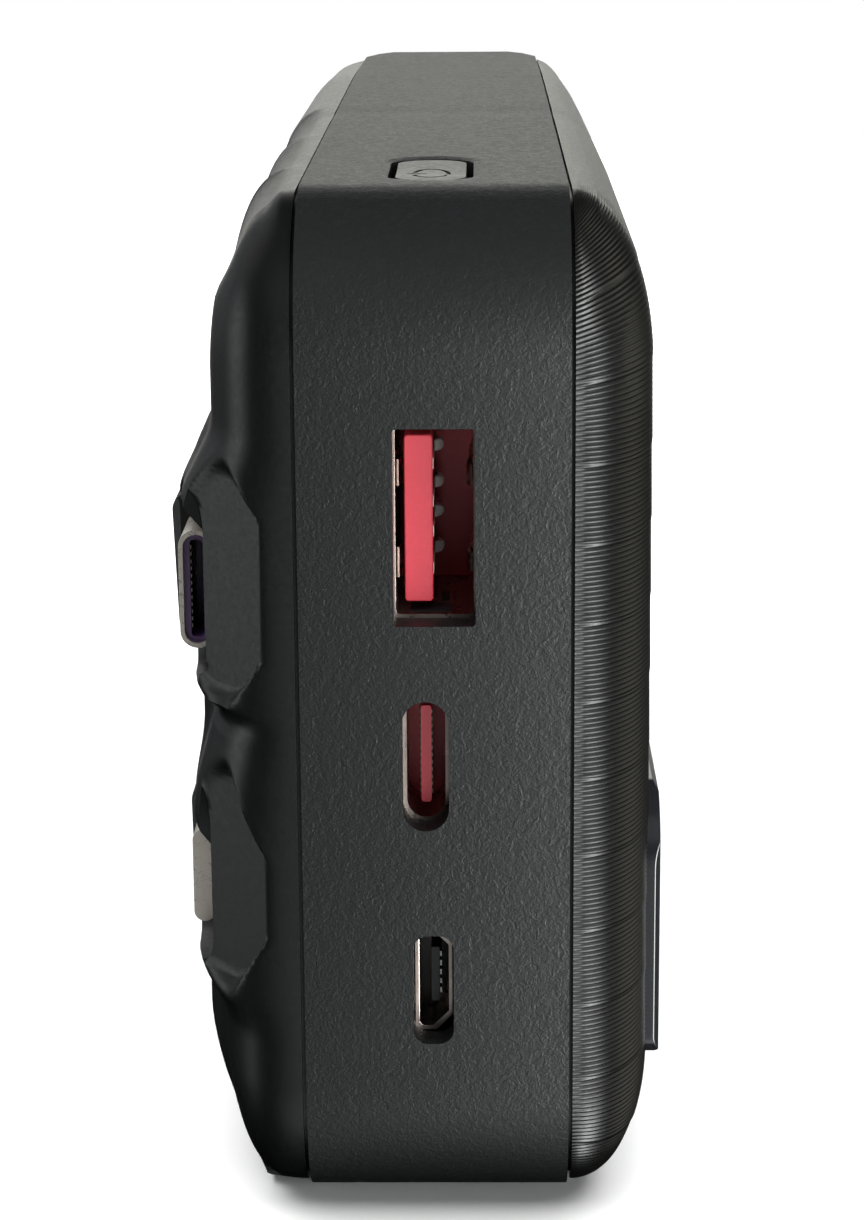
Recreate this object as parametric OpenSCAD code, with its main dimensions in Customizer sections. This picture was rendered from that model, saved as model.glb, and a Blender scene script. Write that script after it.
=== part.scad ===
// Power bank with a three-port end, a sprung power button, a raised display
// window and two built-in leads that stow in a bay on the back cover.
// +Z is up: the part stands on its long narrow edge. The ports face -Y,
// the ribbed front cover faces +X and the back cover with the leads faces -X.
// The origin is the centre of the middle frame's lower face.

/* [Housing] */
// Length of the housing, from the port end to the far end
body_length = 145; // [138:1:170]
// Height of the housing as it stands on its long narrow edge
body_height = 70; // [68:1:80]
// Width of the middle frame between the two covers
frame_width = 17.7; // [17:0.1:22]
// Wall of the middle frame
frame_wall = 2.4; // [2:0.1:3]
// Corner radius of the housing, seen from its broad side
corner_radius = 10; // [8:0.5:12]
// Depth of the front cover beyond the frame
front_depth = 5.8; // [5.4:0.1:7.5]
// Depth of the back cover beyond the frame
back_depth = 6.2; // [5.8:0.1:7.5]
// Fullness of the front cover's rounded edge: 2 is an ellipse, more is fuller
front_fullness = 2.1; // [2:0.1:3]
// Fullness of the back cover's rounded edge
back_fullness = 2.8; // [2:0.1:3.2]
// Loss of depth of each cover at its far end
far_taper = 1.1; // [0:0.1:1.4]
// Distance from the port end at which the covers start to taper
taper_start = 55; // [45:1:70]
// Face wall of each cover at its far end
cover_wall = 1.8; // [1.5:0.1:2.2]
// Side wall of each cover
cover_side_wall = 3.5; // [3:0.1:4]
// How far the covers' outline lies inside the frame's outline
cover_inset = 0.3; // [0.1:0.05:0.5]
// Width of the seam groove beside the frame
seam_width = 0.25; // [0.1:0.05:0.4]
// Depth of the seam groove beside the frame
seam_depth = 0.5; // [0.2:0.1:0.8]
// Height of the rim on the frame that locates each cover
rim_height = 1.2; // [0.8:0.1:1.6]
// Thickness of the locating rim
rim_wall = 0.9; // [0.7:0.1:1.1]

/* [Front cover] */
// Distance between the grip bands
band_pitch = 5.26; // [4.5:0.02:7]
// Depth of the groove between two grip bands
band_groove_depth = 0.2; // [0.1:0.05:0.3]
// Width of the groove between two grip bands
band_groove_width = 0.4; // [0.3:0.05:0.6]
// Length of the grip bands from the port end
band_length = 66; // [55:1:75]
// Distance of the topmost band groove below the housing's top
band_drop = 6.4; // [6:0.1:10]
// Number of band grooves
band_count = 11; // [6:1:11]

/* [Display] */
// Length of the display window, along the housing
window_length = 34; // [26:1:40]
// Height of the display window
window_height = 19; // [17:0.5:24]
// Distance of the window from the port end
window_setback = 7.6; // [7:0.1:10]
// Height of the window's lower edge
window_bottom = 9.4; // [8:0.1:14]
// Corner radius of the window at its upper corners
window_round = 5; // [1.5:0.1:6]
// How far the window stands proud of the cover
window_proud = 0.65; // [0.2:0.05:1]
// Thickness of the window
window_thickness = 1.5; // [1.2:0.1:1.8]
// Width of the ledge that the window sits on
window_ledge = 1.5; // [1:0.1:2]
// Length of the digit module behind the window
module_length = 16; // [14:0.5:17]
// Height of the digit module behind the window
module_height = 13.5; // [12:0.5:14]
// Thickness of the digit module's board
display_board_thickness = 1; // [0.8:0.1:1.2]
// Distance from the middle plane to the back of the digit module's board
display_board_x = 7; // [6:0.1:7.5]

/* [Ports] */
// Height of the USB-A port's centre, as a share of the housing's height
usb_a_share = 0.7; // [0.69:0.005:0.72]
// Height of the USB-C port's centre, as a share of the housing's height
usb_c_share = 0.4715; // [0.46:0.0005:0.485]
// Height of the micro-USB port's centre, as a share of the housing's height
micro_share = 0.2493; // [0.245:0.0001:0.28]
// Offset of the USB-C port from the middle plane
usb_c_x = -0.64; // [-1:0.02:0]
// Offset of the micro-USB port from the middle plane
micro_x = -0.22; // [-0.6:0.02:0]
// Cut-out round each port beyond the port's own opening
port_margin = 0.25; // [0.1:0.05:0.3]

/* [Power button] */
// Distance of the button's centre from the port end
button_setback = 19.9; // [19:0.1:22]
// Offset of the button from the middle plane
button_x = -0.3; // [-0.6:0.05:0.3]
// Length of the slot for the button
button_slot_length = 14.2; // [12:0.2:16]
// Width of the slot for the button
button_slot_width = 5.8; // [5:0.1:7]
// Gap round the button
button_gap = 0.5; // [0.3:0.05:0.6]
// Travel of the button
button_travel = 0.4; // [0.2:0.05:0.5]
// Width of the bevel round the slot
button_bevel = 0.65; // [0.4:0.05:0.9]

/* [Leads] */
// Height of the USB-C lead
type_c_z = 42.6; // [42:0.1:44]
// Height of the slim lead
slim_z = 22.1; // [20:0.1:23]
// Distance of the plugs' tips from the port end
tip_setback = 10; // [9:0.1:12]
// Width of each flat lead
lead_width = 4.6; // [4:0.1:5]
// Thickness of each flat lead
lead_thickness = 2; // [1.8:0.1:2.2]
// Distance of the leads' pivots from the far end
pivot_setback = 35; // [30:1:50]
// Distance of the lips in front of the plugs from the port end
lip_setback = 4.8; // [4.5:0.1:5.2]
// How far those lips stand proud of the back cover
lip_proud = 0.75; // [0.5:0.05:1]
// Length of each plug's moulded grip
boot_length = 17; // [14:0.5:20]
// Width of the USB-C plug's moulded grip
boot_width = 10.6; // [10:0.1:11]
// Width of the slim plug's moulded grip
slim_boot_width = 9; // [8.5:0.1:9.5]
// Thickness of each plug's moulded grip
boot_thickness = 4.6; // [4:0.1:4.8]
// Gap between a stowed lead and the back cover
stow_gap = 0.3; // [0.25:0.05:0.5]
// How far the lead bay stands proud of the back cover
bay_proud = 1.3; // [1:0.1:1.6]
// Height of the bay's lower edge
bay_bottom = 6.4; // [6:0.1:8]
// Height of the bay's upper edge
bay_top = 51.5; // [51:0.1:54]

/* [Cells and board] */
// Gap between the cells and the frame's far wall
cell_far_gap = 6.1; // [6:0.1:20]
// Gap between the cells and the frame's upper and lower walls
cell_side_gap = 2.6; // [2.4:0.1:6]
// Thickness of each cell
cell_thickness = 11; // [9:0.1:11.2]
// Thickness of the pad between the cells
pad_thickness = 1; // [0.5:0.1:1.2]
// Distance of the cells from the port end
cell_setback = 28.5; // [28:0.1:30]
// Length of the main board, away from the ports
board_length = 23.4; // [23:0.1:24]
// Gap between the main board and the frame's upper and lower walls
board_side_gap = 2.6; // [2.6:0.1:3.6]
// Thickness of the main board
board_thickness = 1.2; // [1:0.1:1.6]

/* [Snap hooks] */
// Length of each hook that holds a cover to the frame
hook_length = 7; // [5:0.5:9]
// How far the hooks reach behind the parting line
hook_reach = 3.2; // [3:0.1:3.6]
// How far each hook's nose catches in the frame
hook_catch = 0.6; // [0.4:0.05:0.8]

/* [Grip scallops] */
// Length of each finger scallop along the back cover's upper edge
scallop_length = 23.5; // [20:0.5:25]
// Depth of each scallop
scallop_depth = 0.8; // [0.4:0.05:1]
// Number of scallops
scallop_count = 3; // [1:1:3]

/* [Hidden] */
$fn = 64;

// Overrun of every cut past the face that it opens
cut = 0.5;
// Gap between pieces that slide into each other without a fit
fit_gap = 0.1;

// Ports: shells and openings as thickness and width
usb_a_outer = [5.7, 13.1];
usb_a_open = [5.1, 12.5];
usb_a_depth = 14;
usb_a_rear = 3;
usb_a_tongue = [1.84, 11.1];
usb_a_tongue_x = -1.03;
usb_a_pitch = [-3.5, -1, 1, 3.5];
usb_c_outer = [3.16, 8.94];
usb_c_open = [2.56, 8.34];
usb_c_depth = 7.4;
usb_c_rear = 2;
usb_c_tongue = [0.7, 6.7];
usb_c_pads = 12;
usb_c_pitch = 0.5;
micro_outer = [2.55, 7.5];
micro_open = [1.95, 6.9];
micro_corner = 1;
micro_depth = 5.6;
micro_rear = 1.5;
micro_tongue = [0.6, 3.9];
micro_tongue_x = 0.1;
micro_pitch = 0.65;
micro_slope = 1.1;
micro_round = 0.4;
sheet = 0.3;
tongue_setback = 0.7;

// Plugs of the built-in leads, as thickness and width
type_c_plug = [2.4, 8.25];
type_c_plug_open = [1.76, 7.6];
slim_plug = [1.5, 6.7];
slim_pads = 8;
slim_pitch = 0.55;
plug_shell_length = 6.65;
spigot_radius = 1.6;
plug_hold = 1.5;
plug_recess = 0.3;
plug_mouth = [0.9, 6.8];

// Screws and what stands on the main board
screw_radius = 0.75;
pilot_radius = 0.8;
post_radius = 2.2;
screw_length = 5;
screw_head_radius = 1.5;
screw_head_height = 0.9;
screw_inset = 4;
inductor_size = [4.5, 8, 8];
chip_size = [1, 5, 5];
capacitor_radius = 2.4;
capacitor_height = 6;
part_gap = 0.6;
switch_size = [3.4, 6, 3.6];

// Cells, their tabs and the flat cables
ribbon_room = 0.4;
terrace = [0.8, 2.5];
tab_thickness = 0.3;
tab_height = 5;
tab_offset = 10;
wire_radius = 0.9;
ribbon_thickness = 0.3;
ribbon_width = 6;

usb_a_z = usb_a_share * body_height;
usb_c_z = usb_c_share * body_height;
micro_z = micro_share * body_height;

near_y = -body_length / 2;
far_y = body_length / 2;
half_width = frame_width / 2;
cover_radius = corner_radius - cover_inset;
front_x = half_width + front_depth;
back_x = -half_width - back_depth;
front_inner_x = front_x - far_taper - cover_wall;
back_inner_x = back_x + far_taper + cover_wall;
cavity_inset = cover_inset + cover_side_wall;
inner_near_y = near_y + frame_wall;
board_face_x = -usb_a_outer[0] / 2;
board_back_x = board_face_x - board_thickness;
board_gap = 0.2;
board_near_y = inner_near_y + board_gap;
board_far_y = board_near_y + board_length;
board_low_z = frame_wall + board_side_gap;
board_high_z = body_height - board_low_z;
screw_places = [
  [board_near_y + screw_inset, board_low_z + screw_inset],
  [board_near_y + screw_inset, board_high_z - screw_inset],
  [board_far_y - screw_inset, board_low_z + screw_inset],
  [board_far_y - screw_inset, board_high_z - 3 * screw_inset]
];
cell_near_y = near_y + cell_setback;
cell_length = body_length - cell_setback - cell_far_gap - frame_wall;
cell_low_z = frame_wall + cell_side_gap;
cell_high_z = body_height - cell_low_z;
cell_width = cell_high_z - cell_low_z;
positive_z = body_height / 2 + tab_offset;
negative_z = body_height / 2 - tab_offset;

charcoal = [0.15, 0.16, 0.165];
soft_black = [0.09, 0.095, 0.1];
board_green = [0.08, 0.32, 0.18];
port_red = [0.85, 0.27, 0.34];
bare_steel = [0.72, 0.72, 0.7];
pouch_silver = [0.62, 0.63, 0.66];
gold = [0.83, 0.68, 0.35];

// ---- Shared forms -------------------------------------------------------

// Draws a flat shape given in Y and Z, from x0 to x1
module along_x(x0, x1) {
  translate([x0, 0, 0]) rotate([90, 0, 90]) linear_extrude(x1 - x0) children();
}

// Draws a flat shape given in X and Z, from y0 to y1
module along_y(y0, y1) {
  translate([0, y1, 0]) rotate([90, 0, 0]) linear_extrude(y1 - y0) children();
}

// Draws a flat shape given in X and Y, from z0 to z1
module along_z(z0, z1) {
  translate([0, 0, z0]) linear_extrude(z1 - z0) children();
}

// A block between two corners
module block(low, high) {
  translate(low) cube(high - low);
}

module rounded_rect(size, r) {
  square([size[0] - 2 * r, size[1]], center = true);
  square([size[0], size[1] - 2 * r], center = true);
  for (sx = [-1, 1], sy = [-1, 1])
    translate([sx * (size[0] / 2 - r), sy * (size[1] / 2 - r)]) circle(r);
}

// A slot with round ends; its longer side is the second of size
module slot(size) {
  rounded_rect(size, min(size[0], size[1]) / 2 - 0.001);
}

// Points of an oval with the given width and length
function oval(size, steps = 36) =
  [for (i = [0:steps - 1]) [size[0] * cos(360 * i / steps), size[1] * sin(360 * i / steps)] / 2];

// The housing's outline in Y and Z, moved inwards by inset
module outline(inset) {
  translate([0, body_height / 2])
    rounded_rect([body_length - 2 * inset, body_height - 2 * inset], corner_radius - inset);
}

// ---- Middle frame -------------------------------------------------------

button_y = near_y + button_setback;
button_slot = [button_slot_width, button_slot_length];
bevel_depth = 0.15;
rib_thickness = 2;
rib_half_width = 7;
rib_places = [0.15, 0.5, 0.85];

module frame_ring() {
  difference() {
    along_x(-half_width, half_width) outline(0);
    along_x(-half_width - cut, half_width + cut) outline(frame_wall);
  }
}

module locating_rim(x0, x1) {
  difference() {
    along_x(x0, x1) outline(frame_wall - rim_wall);
    along_x(x0 - cut, x1 + cut) outline(frame_wall);
  }
}

// Ribs above and below the cells hold them off the frame's walls
module cell_ribs() {
  for (place = rib_places)
    for (z0 = [frame_wall - fit_gap, cell_high_z])
      block([-rib_half_width, cell_near_y + place * cell_length - rib_thickness / 2, z0],
            [rib_half_width, cell_near_y + place * cell_length + rib_thickness / 2,
             z0 + cell_side_gap + fit_gap]);
}

module port_cutouts() {
  y0 = near_y - cut;
  y1 = inner_near_y + cut;
  translate([0, 0, usb_a_z]) along_y(y0, y1)
    rounded_rect([usb_a_open[0] + port_margin, usb_a_open[1] + 2 * port_margin], port_margin);
  translate([usb_c_x, 0, usb_c_z]) along_y(y0, y1)
    slot([usb_c_open[0] + 2 * port_margin, usb_c_open[1] + 2 * port_margin]);
  translate([micro_x, 0, micro_z]) along_y(y0, y1)
    rounded_rect([micro_open[0] + 3 * port_margin, micro_open[1] + 3 * port_margin], micro_corner);
}

// Hooks stand between the ribs; each is given by its length along Y
hook_places = [0.32, 0.68, 0.93];
hook_thickness = 1.2;
hook_nose = 1.4;
hook_near = half_width - hook_reach;

// Repeats a shape drawn against the frame's lower wall at every hook of one side
module at_hooks(side) {
  for (place = hook_places, up = [0, 1])
    translate([0, cell_near_y + place * cell_length, up * body_height])
      mirror([0, 0, up]) mirror([side < 0 ? 1 : 0, 0, 0]) children();
}

// Recess in the frame's wall that takes a hook's nose
module hook_recess() {
  grow = 2 * fit_gap;
  block([hook_near - grow, -hook_length / 2 - grow, frame_wall - hook_catch - grow],
        [hook_near + hook_nose + grow, hook_length / 2 + grow, frame_wall + cut]);
}

// A hook on a cover: a springy tab with a nose that slopes on its leading side
module cover_hook() {
  root_x = half_width + rim_height + fit_gap;
  z0 = frame_wall + fit_gap;
  z1 = z0 + hook_thickness;
  translate([0, hook_length / 2, 0]) rotate([90, 0, 0]) linear_extrude(hook_length)
    polygon([[hook_near, z1], [hook_near, z0], [hook_near + hook_nose / 2, frame_wall - hook_catch],
             [hook_near + hook_nose, frame_wall - hook_catch], [hook_near + hook_nose, z0],
             [root_x + cut, z0], [root_x + cut, cavity_inset + cut], [root_x, cavity_inset + cut],
             [root_x - cut, z1]]);
}

// Bevel round the button's slot: a cone at each round end and a flare between them
module slot_bevel() {
  low = button_slot[0] / 2;
  high = low + button_bevel * (1 + cut / bevel_depth);
  straight = button_slot[1] - button_slot[0];
  translate([button_x, button_y, body_height - bevel_depth]) {
    for (end = [-1, 1])
      translate([0, end * straight / 2, 0]) cylinder(h = bevel_depth + cut, r1 = low, r2 = high);
    rotate([90, 0, 0]) linear_extrude(straight, center = true)
      polygon([[-low, 0], [-high, bevel_depth + cut], [high, bevel_depth + cut], [low, 0]]);
  }
}

module mid_frame() {
  color(charcoal) difference() {
    union() {
      frame_ring();
      locating_rim(half_width, half_width + rim_height);
      locating_rim(-half_width - rim_height, -half_width);
      cell_ribs();
    }
    port_cutouts();
    along_z(body_height - frame_wall - cut, body_height + cut)
      translate([button_x, button_y]) slot(button_slot);
    slot_bevel();
    for (side = [-1, 1]) at_hooks(side) hook_recess();
  }
}

// ---- Covers -------------------------------------------------------------

// A point on a cover's rounded edge, as radius and depth: 0 degrees is at the
// parting face and 90 degrees on the broad face
function edge_point(angle, r, depth, fullness) =
  [r * cos(angle), depth * pow(sin(angle), 2 / fullness)];

// Half of a cover's rounded edge, as a profile to spin round the X axis
function edge_profile(r, depth, fullness, steps = 8) =
  concat([[0, 0]], [for (i = [0:steps]) edge_point(90 * i / steps, r, depth, fullness)]);

module edge_dome(y, z, depth, fullness) {
  translate([0, y, z]) rotate([0, 90, 0])
    rotate_extrude($fn = 36) polygon(edge_profile(cover_radius, depth, fullness));
}

// Outer form of a cover with its parting face at x = 0: it keeps its full depth
// up to taper_start and then loses far_taper by the far end
module cover_blank(depth, fullness, inset = 0) {
  y_near = near_y + corner_radius;
  y_far = far_y - corner_radius;
  hull() for (z = [corner_radius, body_height - corner_radius]) {
    edge_dome(y_near, z, depth - inset, fullness);
    edge_dome(near_y + taper_start, z, depth - inset, fullness);
    edge_dome(y_far, z, depth - far_taper - inset, fullness);
  }
}

// What is cut from a cover behind its parting face, for side = 1 or -1
module cover_inside(side, inner_x) {
  x_part = side * half_width;
  rebate_x = side * (half_width + rim_height + fit_gap);
  along_x(min(x_part - side * cut, rebate_x), max(x_part - side * cut, rebate_x))
    outline(frame_wall - rim_wall - fit_gap);
  along_x(min(x_part - side * cut, inner_x), max(x_part - side * cut, inner_x))
    outline(cavity_inset);
  seam_x = side * (half_width + seam_width);
  difference() {
    along_x(min(x_part - side * cut, seam_x), max(x_part - side * cut, seam_x)) outline(-cut);
    along_x(-half_width - front_depth, half_width + front_depth) outline(cover_inset + seam_depth);
  }
}

window_low = [near_y + window_setback, window_bottom];
window_centre = window_low + [window_length, window_height] / 2;
window_x = front_x + window_proud;
window_seat_x = window_x - window_thickness;
window_corner = 1.5;
window_size = [window_length, window_height];

// The window's outline: its upper corners are rounder than its lower ones
module window_shape(size) {
  intersection() {
    translate([0, -window_round]) rounded_rect(size + [0, 2 * window_round], window_round);
    rounded_rect(size, window_corner);
  }
}

// Grooves between the grip bands, a fixed depth into the cover's face
module band_grooves() {
  difference() {
    for (i = [0:band_count - 1])
      translate([0, 0, body_height - band_drop - i * band_pitch])
        block([half_width + 2 * seam_width, near_y - cut, -band_groove_width / 2],
              [front_x + cut, near_y + band_length, band_groove_width / 2]);
    translate([half_width, band_groove_depth, 0])
      cover_blank(front_depth, front_fullness, band_groove_depth);
  }
}

module front_cover() {
  color(charcoal) {
    difference() {
      translate([half_width, 0, 0]) cover_blank(front_depth, front_fullness);
      cover_inside(1, front_inner_x);
      band_grooves();
      along_x(window_seat_x, window_x + cut) translate(window_centre) window_shape(window_size);
      along_x(front_inner_x - cut, window_seat_x + cut)
        translate(window_centre) rounded_rect(window_size - [2, 2] * window_ledge, window_corner);
    }
    at_hooks(1) cover_hook();
  }
}

// Bay floor, plug lips and stowage are placed from these values
bay_x = back_x - bay_proud;
lead_x = bay_x + lead_thickness / 2;
lead_floor_x = lead_x + lead_thickness / 2 + stow_gap;
plug_x = back_x - 1.25;
pivot_y = far_y - pivot_setback;
tip_y = near_y + tip_setback;
boot_near_y = tip_y + plug_shell_length;
boot_far_y = boot_near_y + boot_length;
anchor_near_y = pivot_y + lead_thickness / 2 + stow_gap;
anchor_length = 7;
anchor_width = 7.4;
lip_x = back_x - lip_proud;
lip_y = near_y + lip_setback;
lip_back_y = lip_y + 0.4;
root_x = -half_width - rim_height - 1.5;

// The bay's walls: how wide they are, how their rounded tops fall, and how far
// their feet sink into the cover
bay_slope = 3.5;
bay_round = [0.45, 1.4];
bay_low_sink = 2;
bay_top_sink = 0.3;
bay_near_y = tip_y + 2.5;
bay_far_y = anchor_near_y + anchor_length + 4;

// The low plateau that both leads lie in
module lead_bay() {
  low_z = bay_bottom - bay_slope;
  high_z = bay_top + bay_slope;
  intersection() {
    along_y(bay_near_y - bay_slope, bay_far_y + bay_slope)
      polygon([[root_x, low_z], [back_x + bay_low_sink, low_z],
               [bay_x + bay_round[0], bay_bottom - bay_round[1]], [bay_x, bay_bottom],
               [bay_x, bay_top], [bay_x + bay_round[0], bay_top + bay_round[1]],
               [back_x + bay_top_sink, high_z], [root_x, high_z]]);
    along_z(0, body_height)
      polygon([[root_x, bay_near_y - bay_slope], [back_x + bay_top_sink, bay_near_y - bay_slope],
               [bay_x, bay_near_y], [bay_x, bay_far_y],
               [back_x + far_taper, bay_far_y + bay_slope], [root_x, bay_far_y + bay_slope]]);
  }
}

// Fall of a pod's flank, as shares of its width and of its height
flank_shape = [[0, 0], [0.16, 0.11], [0.42, 0.48], [0.64, 0.7], [1, 1]];
pod_sink = 0.4;
pod_rise_y = tip_y - 1;
pod_crest = [0.5, 1];
pod_far_y = boot_far_y + 1.5;
pod_tail = 4;
ramp_foot = [2.3, 1];
ramp_sink = 1.5;
lip_spread = [1, 2.6];

// Each plug's pod: its centre above the plug, how far it stands out of the cover,
// half the width of its top, and the widths of its upper and lower flanks
type_c_pod = [0.5, 2.95, 4.8, 6.6, 3.2];
slim_pod = [1, 2.4, 4.2, 4.6, 3.4];

// A pod round one stowed plug: a ramp with a sharp lip in front of the plug,
// and walls that rise beside it
module plug_pod(plug_z, pod) {
  z = plug_z + pod[0];
  outer_x = back_x - pod[1];
  half_top = pod[2];
  flank_up = pod[3];
  flank_down = pod[4];
  low_z = z - half_top - flank_down;
  high_z = z + half_top + flank_up;
  fall = back_x + pod_sink - outer_x;
  steps = len(flank_shape) - 1;
  intersection() {
    along_y(near_y, lip_back_y)
      polygon([[root_x, low_z], [back_x + ramp_sink, low_z], [lip_x, z - half_top - lip_spread[0]],
               [lip_x, z + half_top + lip_spread[1]], [back_x + ramp_sink, high_z], [root_x, high_z]]);
    along_z(0, body_height)
      polygon([[root_x, near_y + ramp_foot[1]], [-half_width - ramp_foot[0], near_y + ramp_foot[1]],
               [lip_x, lip_y], [lip_x, lip_back_y], [root_x, lip_back_y]]);
  }
  intersection() {
    along_y(lip_y, pod_far_y + pod_tail)
      polygon(concat([[root_x, low_z]],
        [for (i = [steps:-1:0])
          [outer_x + fall * flank_shape[i][1], z - half_top - flank_down * flank_shape[i][0]]],
        [for (i = [0:steps])
          [outer_x + fall * flank_shape[i][1], z + half_top + flank_up * flank_shape[i][0]]],
        [[root_x, high_z]]));
    along_z(0, body_height)
      polygon([[root_x, lip_y], [lip_x, lip_y], [lip_x, lip_back_y],
               [outer_x + pod_crest[0], pod_rise_y - pod_crest[1]], [outer_x, pod_rise_y],
               [outer_x, pod_far_y], [bay_x, pod_far_y + pod_tail], [root_x, pod_far_y + pod_tail]]);
  }
}

// Flared wall of a plug's pocket: it opens outwards, widest behind the lip, and
// runs out where the grip's pocket starts
module pocket_flare(z, plug_half, floor_x, out_x) {
  flare = [0.9, 0.3];
  reach = floor_x - out_x;
  intersection() {
    along_y(lip_back_y, boot_near_y)
      polygon([[floor_x, z - plug_half], [out_x, z - plug_half - reach * flare[1]],
               [out_x, z + plug_half + reach * flare[0]], [floor_x, z + plug_half]]);
    along_z(0, body_height)
      polygon([[floor_x, lip_back_y], [floor_x, tip_y], [out_x, boot_near_y + pod_tail],
               [out_x, lip_back_y]]);
  }
}

// Pocket for one plug, its grip, its flat lead and its anchor
module stowage(z, plug_half, plug_floor_x, grip_width) {
  out_x = back_x - 6;
  plug_corner = 1;
  grip_corner = 1.5;
  grip_floor_x = plug_x + boot_thickness / 2 + stow_gap;
  side = grip_width / 2 + stow_gap;
  along_x(out_x, plug_floor_x) translate([(lip_back_y + boot_near_y) / 2 + cut, z])
    rounded_rect([boot_near_y - lip_back_y + 2 * cut, 2 * plug_half], plug_corner);
  pocket_flare(z, plug_half, plug_floor_x, out_x);
  along_x(out_x, grip_floor_x) translate([(boot_near_y + boot_far_y) / 2, z])
    rounded_rect([boot_length + 2 * stow_gap, 2 * side], grip_corner);
  block([out_x, boot_far_y, z - lead_width / 2 - stow_gap],
        [lead_floor_x, anchor_near_y + cut, z + lead_width / 2 + stow_gap]);
  block([out_x, anchor_near_y, z - anchor_width / 2],
        [lead_floor_x, anchor_near_y + anchor_length, z + anchor_width / 2]);
  translate([lead_floor_x - cut, anchor_near_y + anchor_length / 2, z]) rotate([0, 90, 0])
    cylinder(h = back_inner_x - lead_floor_x + 2 * cut, r = spigot_radius);
}

// Scoops along the back cover's upper edge: each is part of a large cylinder
// whose axis runs down the rounded edge, so that ridges stay between them
module grip_scallops() {
  turn = 45;
  step = 1;
  middle = edge_point(turn, cover_radius, back_depth, back_fullness);
  chord = edge_point(turn - step, cover_radius, back_depth, back_fullness)
    - edge_point(turn + step, cover_radius, back_depth, back_fullness);
  tilt = atan2(chord[0], -chord[1]);
  radius = (pow(scallop_length / 2, 2) + pow(scallop_depth, 2)) / (2 * scallop_depth);
  for (i = [0:scallop_count - 1])
    translate([-half_width - middle[1], near_y + (i + 0.5) * scallop_length,
               body_height - corner_radius + middle[0]])
      rotate([0, -tilt, 0]) translate([0, 0, radius - scallop_depth]) rotate([0, 90, 0])
        cylinder(h = 4 * corner_radius, r = radius, center = true, $fn = 128);
}

module screw_posts() {
  for (p = screw_places) translate([back_inner_x - cut, p[0], p[1]]) rotate([0, 90, 0])
    cylinder(h = board_back_x - back_inner_x + cut, r = post_radius);
}

module back_cover() {
  color(soft_black) difference() {
    union() {
      difference() {
        union() {
          difference() {
            translate([-half_width, 0, 0]) mirror([1, 0, 0]) cover_blank(back_depth, back_fullness);
            grip_scallops();
          }
          lead_bay();
          plug_pod(type_c_z, type_c_pod);
          plug_pod(slim_z, slim_pod);
        }
        cover_inside(-1, back_inner_x);
      }
      screw_posts();
      at_hooks(-1) cover_hook();
    }
    stowage(type_c_z, type_c_plug[1] / 2 + 2 * stow_gap, plug_x + type_c_plug[0] / 2 + stow_gap,
            boot_width);
    stowage(slim_z, slim_plug[1] / 2 + 3 * stow_gap, plug_x + slim_plug[0] / 2 + stow_gap,
            slim_boot_width);
    for (p = screw_places) translate([board_back_x - screw_length, p[0], p[1]]) rotate([0, 90, 0])
      cylinder(h = screw_length + cut, r = pilot_radius);
  }
}

// ---- Display ------------------------------------------------------------

module display_window() {
  size = window_size - [2, 2] * fit_gap;
  edge = 0.35;
  low = window_centre - size / 2;
  high = window_centre + size / 2;
  color([0.03, 0.035, 0.04]) intersection() {
    along_x(window_seat_x, window_x) translate(window_centre) window_shape(size);
    along_z(low[1], high[1])
      polygon([[window_seat_x, low[0]], [window_x - edge, low[0]], [window_x, low[0] + edge],
               [window_x, high[0] - edge], [window_x - edge, high[0]], [window_seat_x, high[0]]]);
    along_y(low[0], high[0])
      polygon([[window_seat_x, low[1]], [window_x - edge, low[1]], [window_x, low[1] + edge],
               [window_x, high[1] - edge], [window_x - edge, high[1]], [window_seat_x, high[1]]]);
  }
}

module_margin = 0.5;
module_low = window_low + [window_ledge + module_margin, (window_height - module_height) / 2];
module_high = module_low + [module_length, module_height];
module_face_x = window_seat_x - 0.3;
display_face_x = display_board_x + display_board_thickness;

// White light box with a shallow well for each of its two digits
module display_module() {
  digit = [5, 9];
  digit_gap = 1.4;
  digit_margin = 2;
  recess = 0.3;
  well = module_low + [digit_margin, (module_height - digit[1]) / 2];
  color([0.85, 0.86, 0.86]) difference() {
    block([display_face_x, module_low[0], module_low[1]], [module_face_x, module_high[0], module_high[1]]);
    for (i = [0, 1]) translate([0, i * (digit[0] + digit_gap), 0])
      block([module_face_x - recess, well[0], well[1]],
            [module_face_x + cut, well[0] + digit[0], well[1] + digit[1]]);
  }
}

module display_board() {
  overhang = [0.5, 1.5];
  color(board_green)
    block([display_board_x, module_low[0] - overhang[0], module_low[1] - overhang[1]],
          [display_face_x, module_high[0] + 2 * overhang[0], module_high[1] + overhang[1]]);
}

// Flat cable from the display's board down to the main board
module display_ribbon() {
  z = negative_z - wire_radius - part_gap - ribbon_width / 2;
  y = min(module_high[0], board_far_y - 1);
  color([0.78, 0.55, 0.2])
    block([board_face_x, y - ribbon_thickness, z - ribbon_width / 2],
          [display_board_x, y, z + ribbon_width / 2]);
}

// ---- Main board and what stands on it ------------------------------------

module main_board() {
  color(board_green) difference() {
    intersection() {
      block([board_back_x, board_near_y, board_low_z], [board_face_x, board_far_y, board_high_z]);
      along_x(board_back_x, board_face_x) outline(frame_wall + board_gap);
    }
    for (p = screw_places) translate([board_back_x - cut, p[0], p[1]]) rotate([0, 90, 0])
      cylinder(h = board_thickness + 2 * cut, r = screw_radius + fit_gap);
  }
}

module board_screws() {
  color(bare_steel) for (p = screw_places) translate([0, p[0], p[1]]) rotate([0, 90, 0]) {
    translate([0, 0, board_face_x]) cylinder(h = screw_head_height, r = screw_head_radius);
    translate([0, 0, board_back_x - screw_length + cut])
      cylinder(h = screw_length - cut + board_thickness, r = screw_radius);
  }
}

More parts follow.
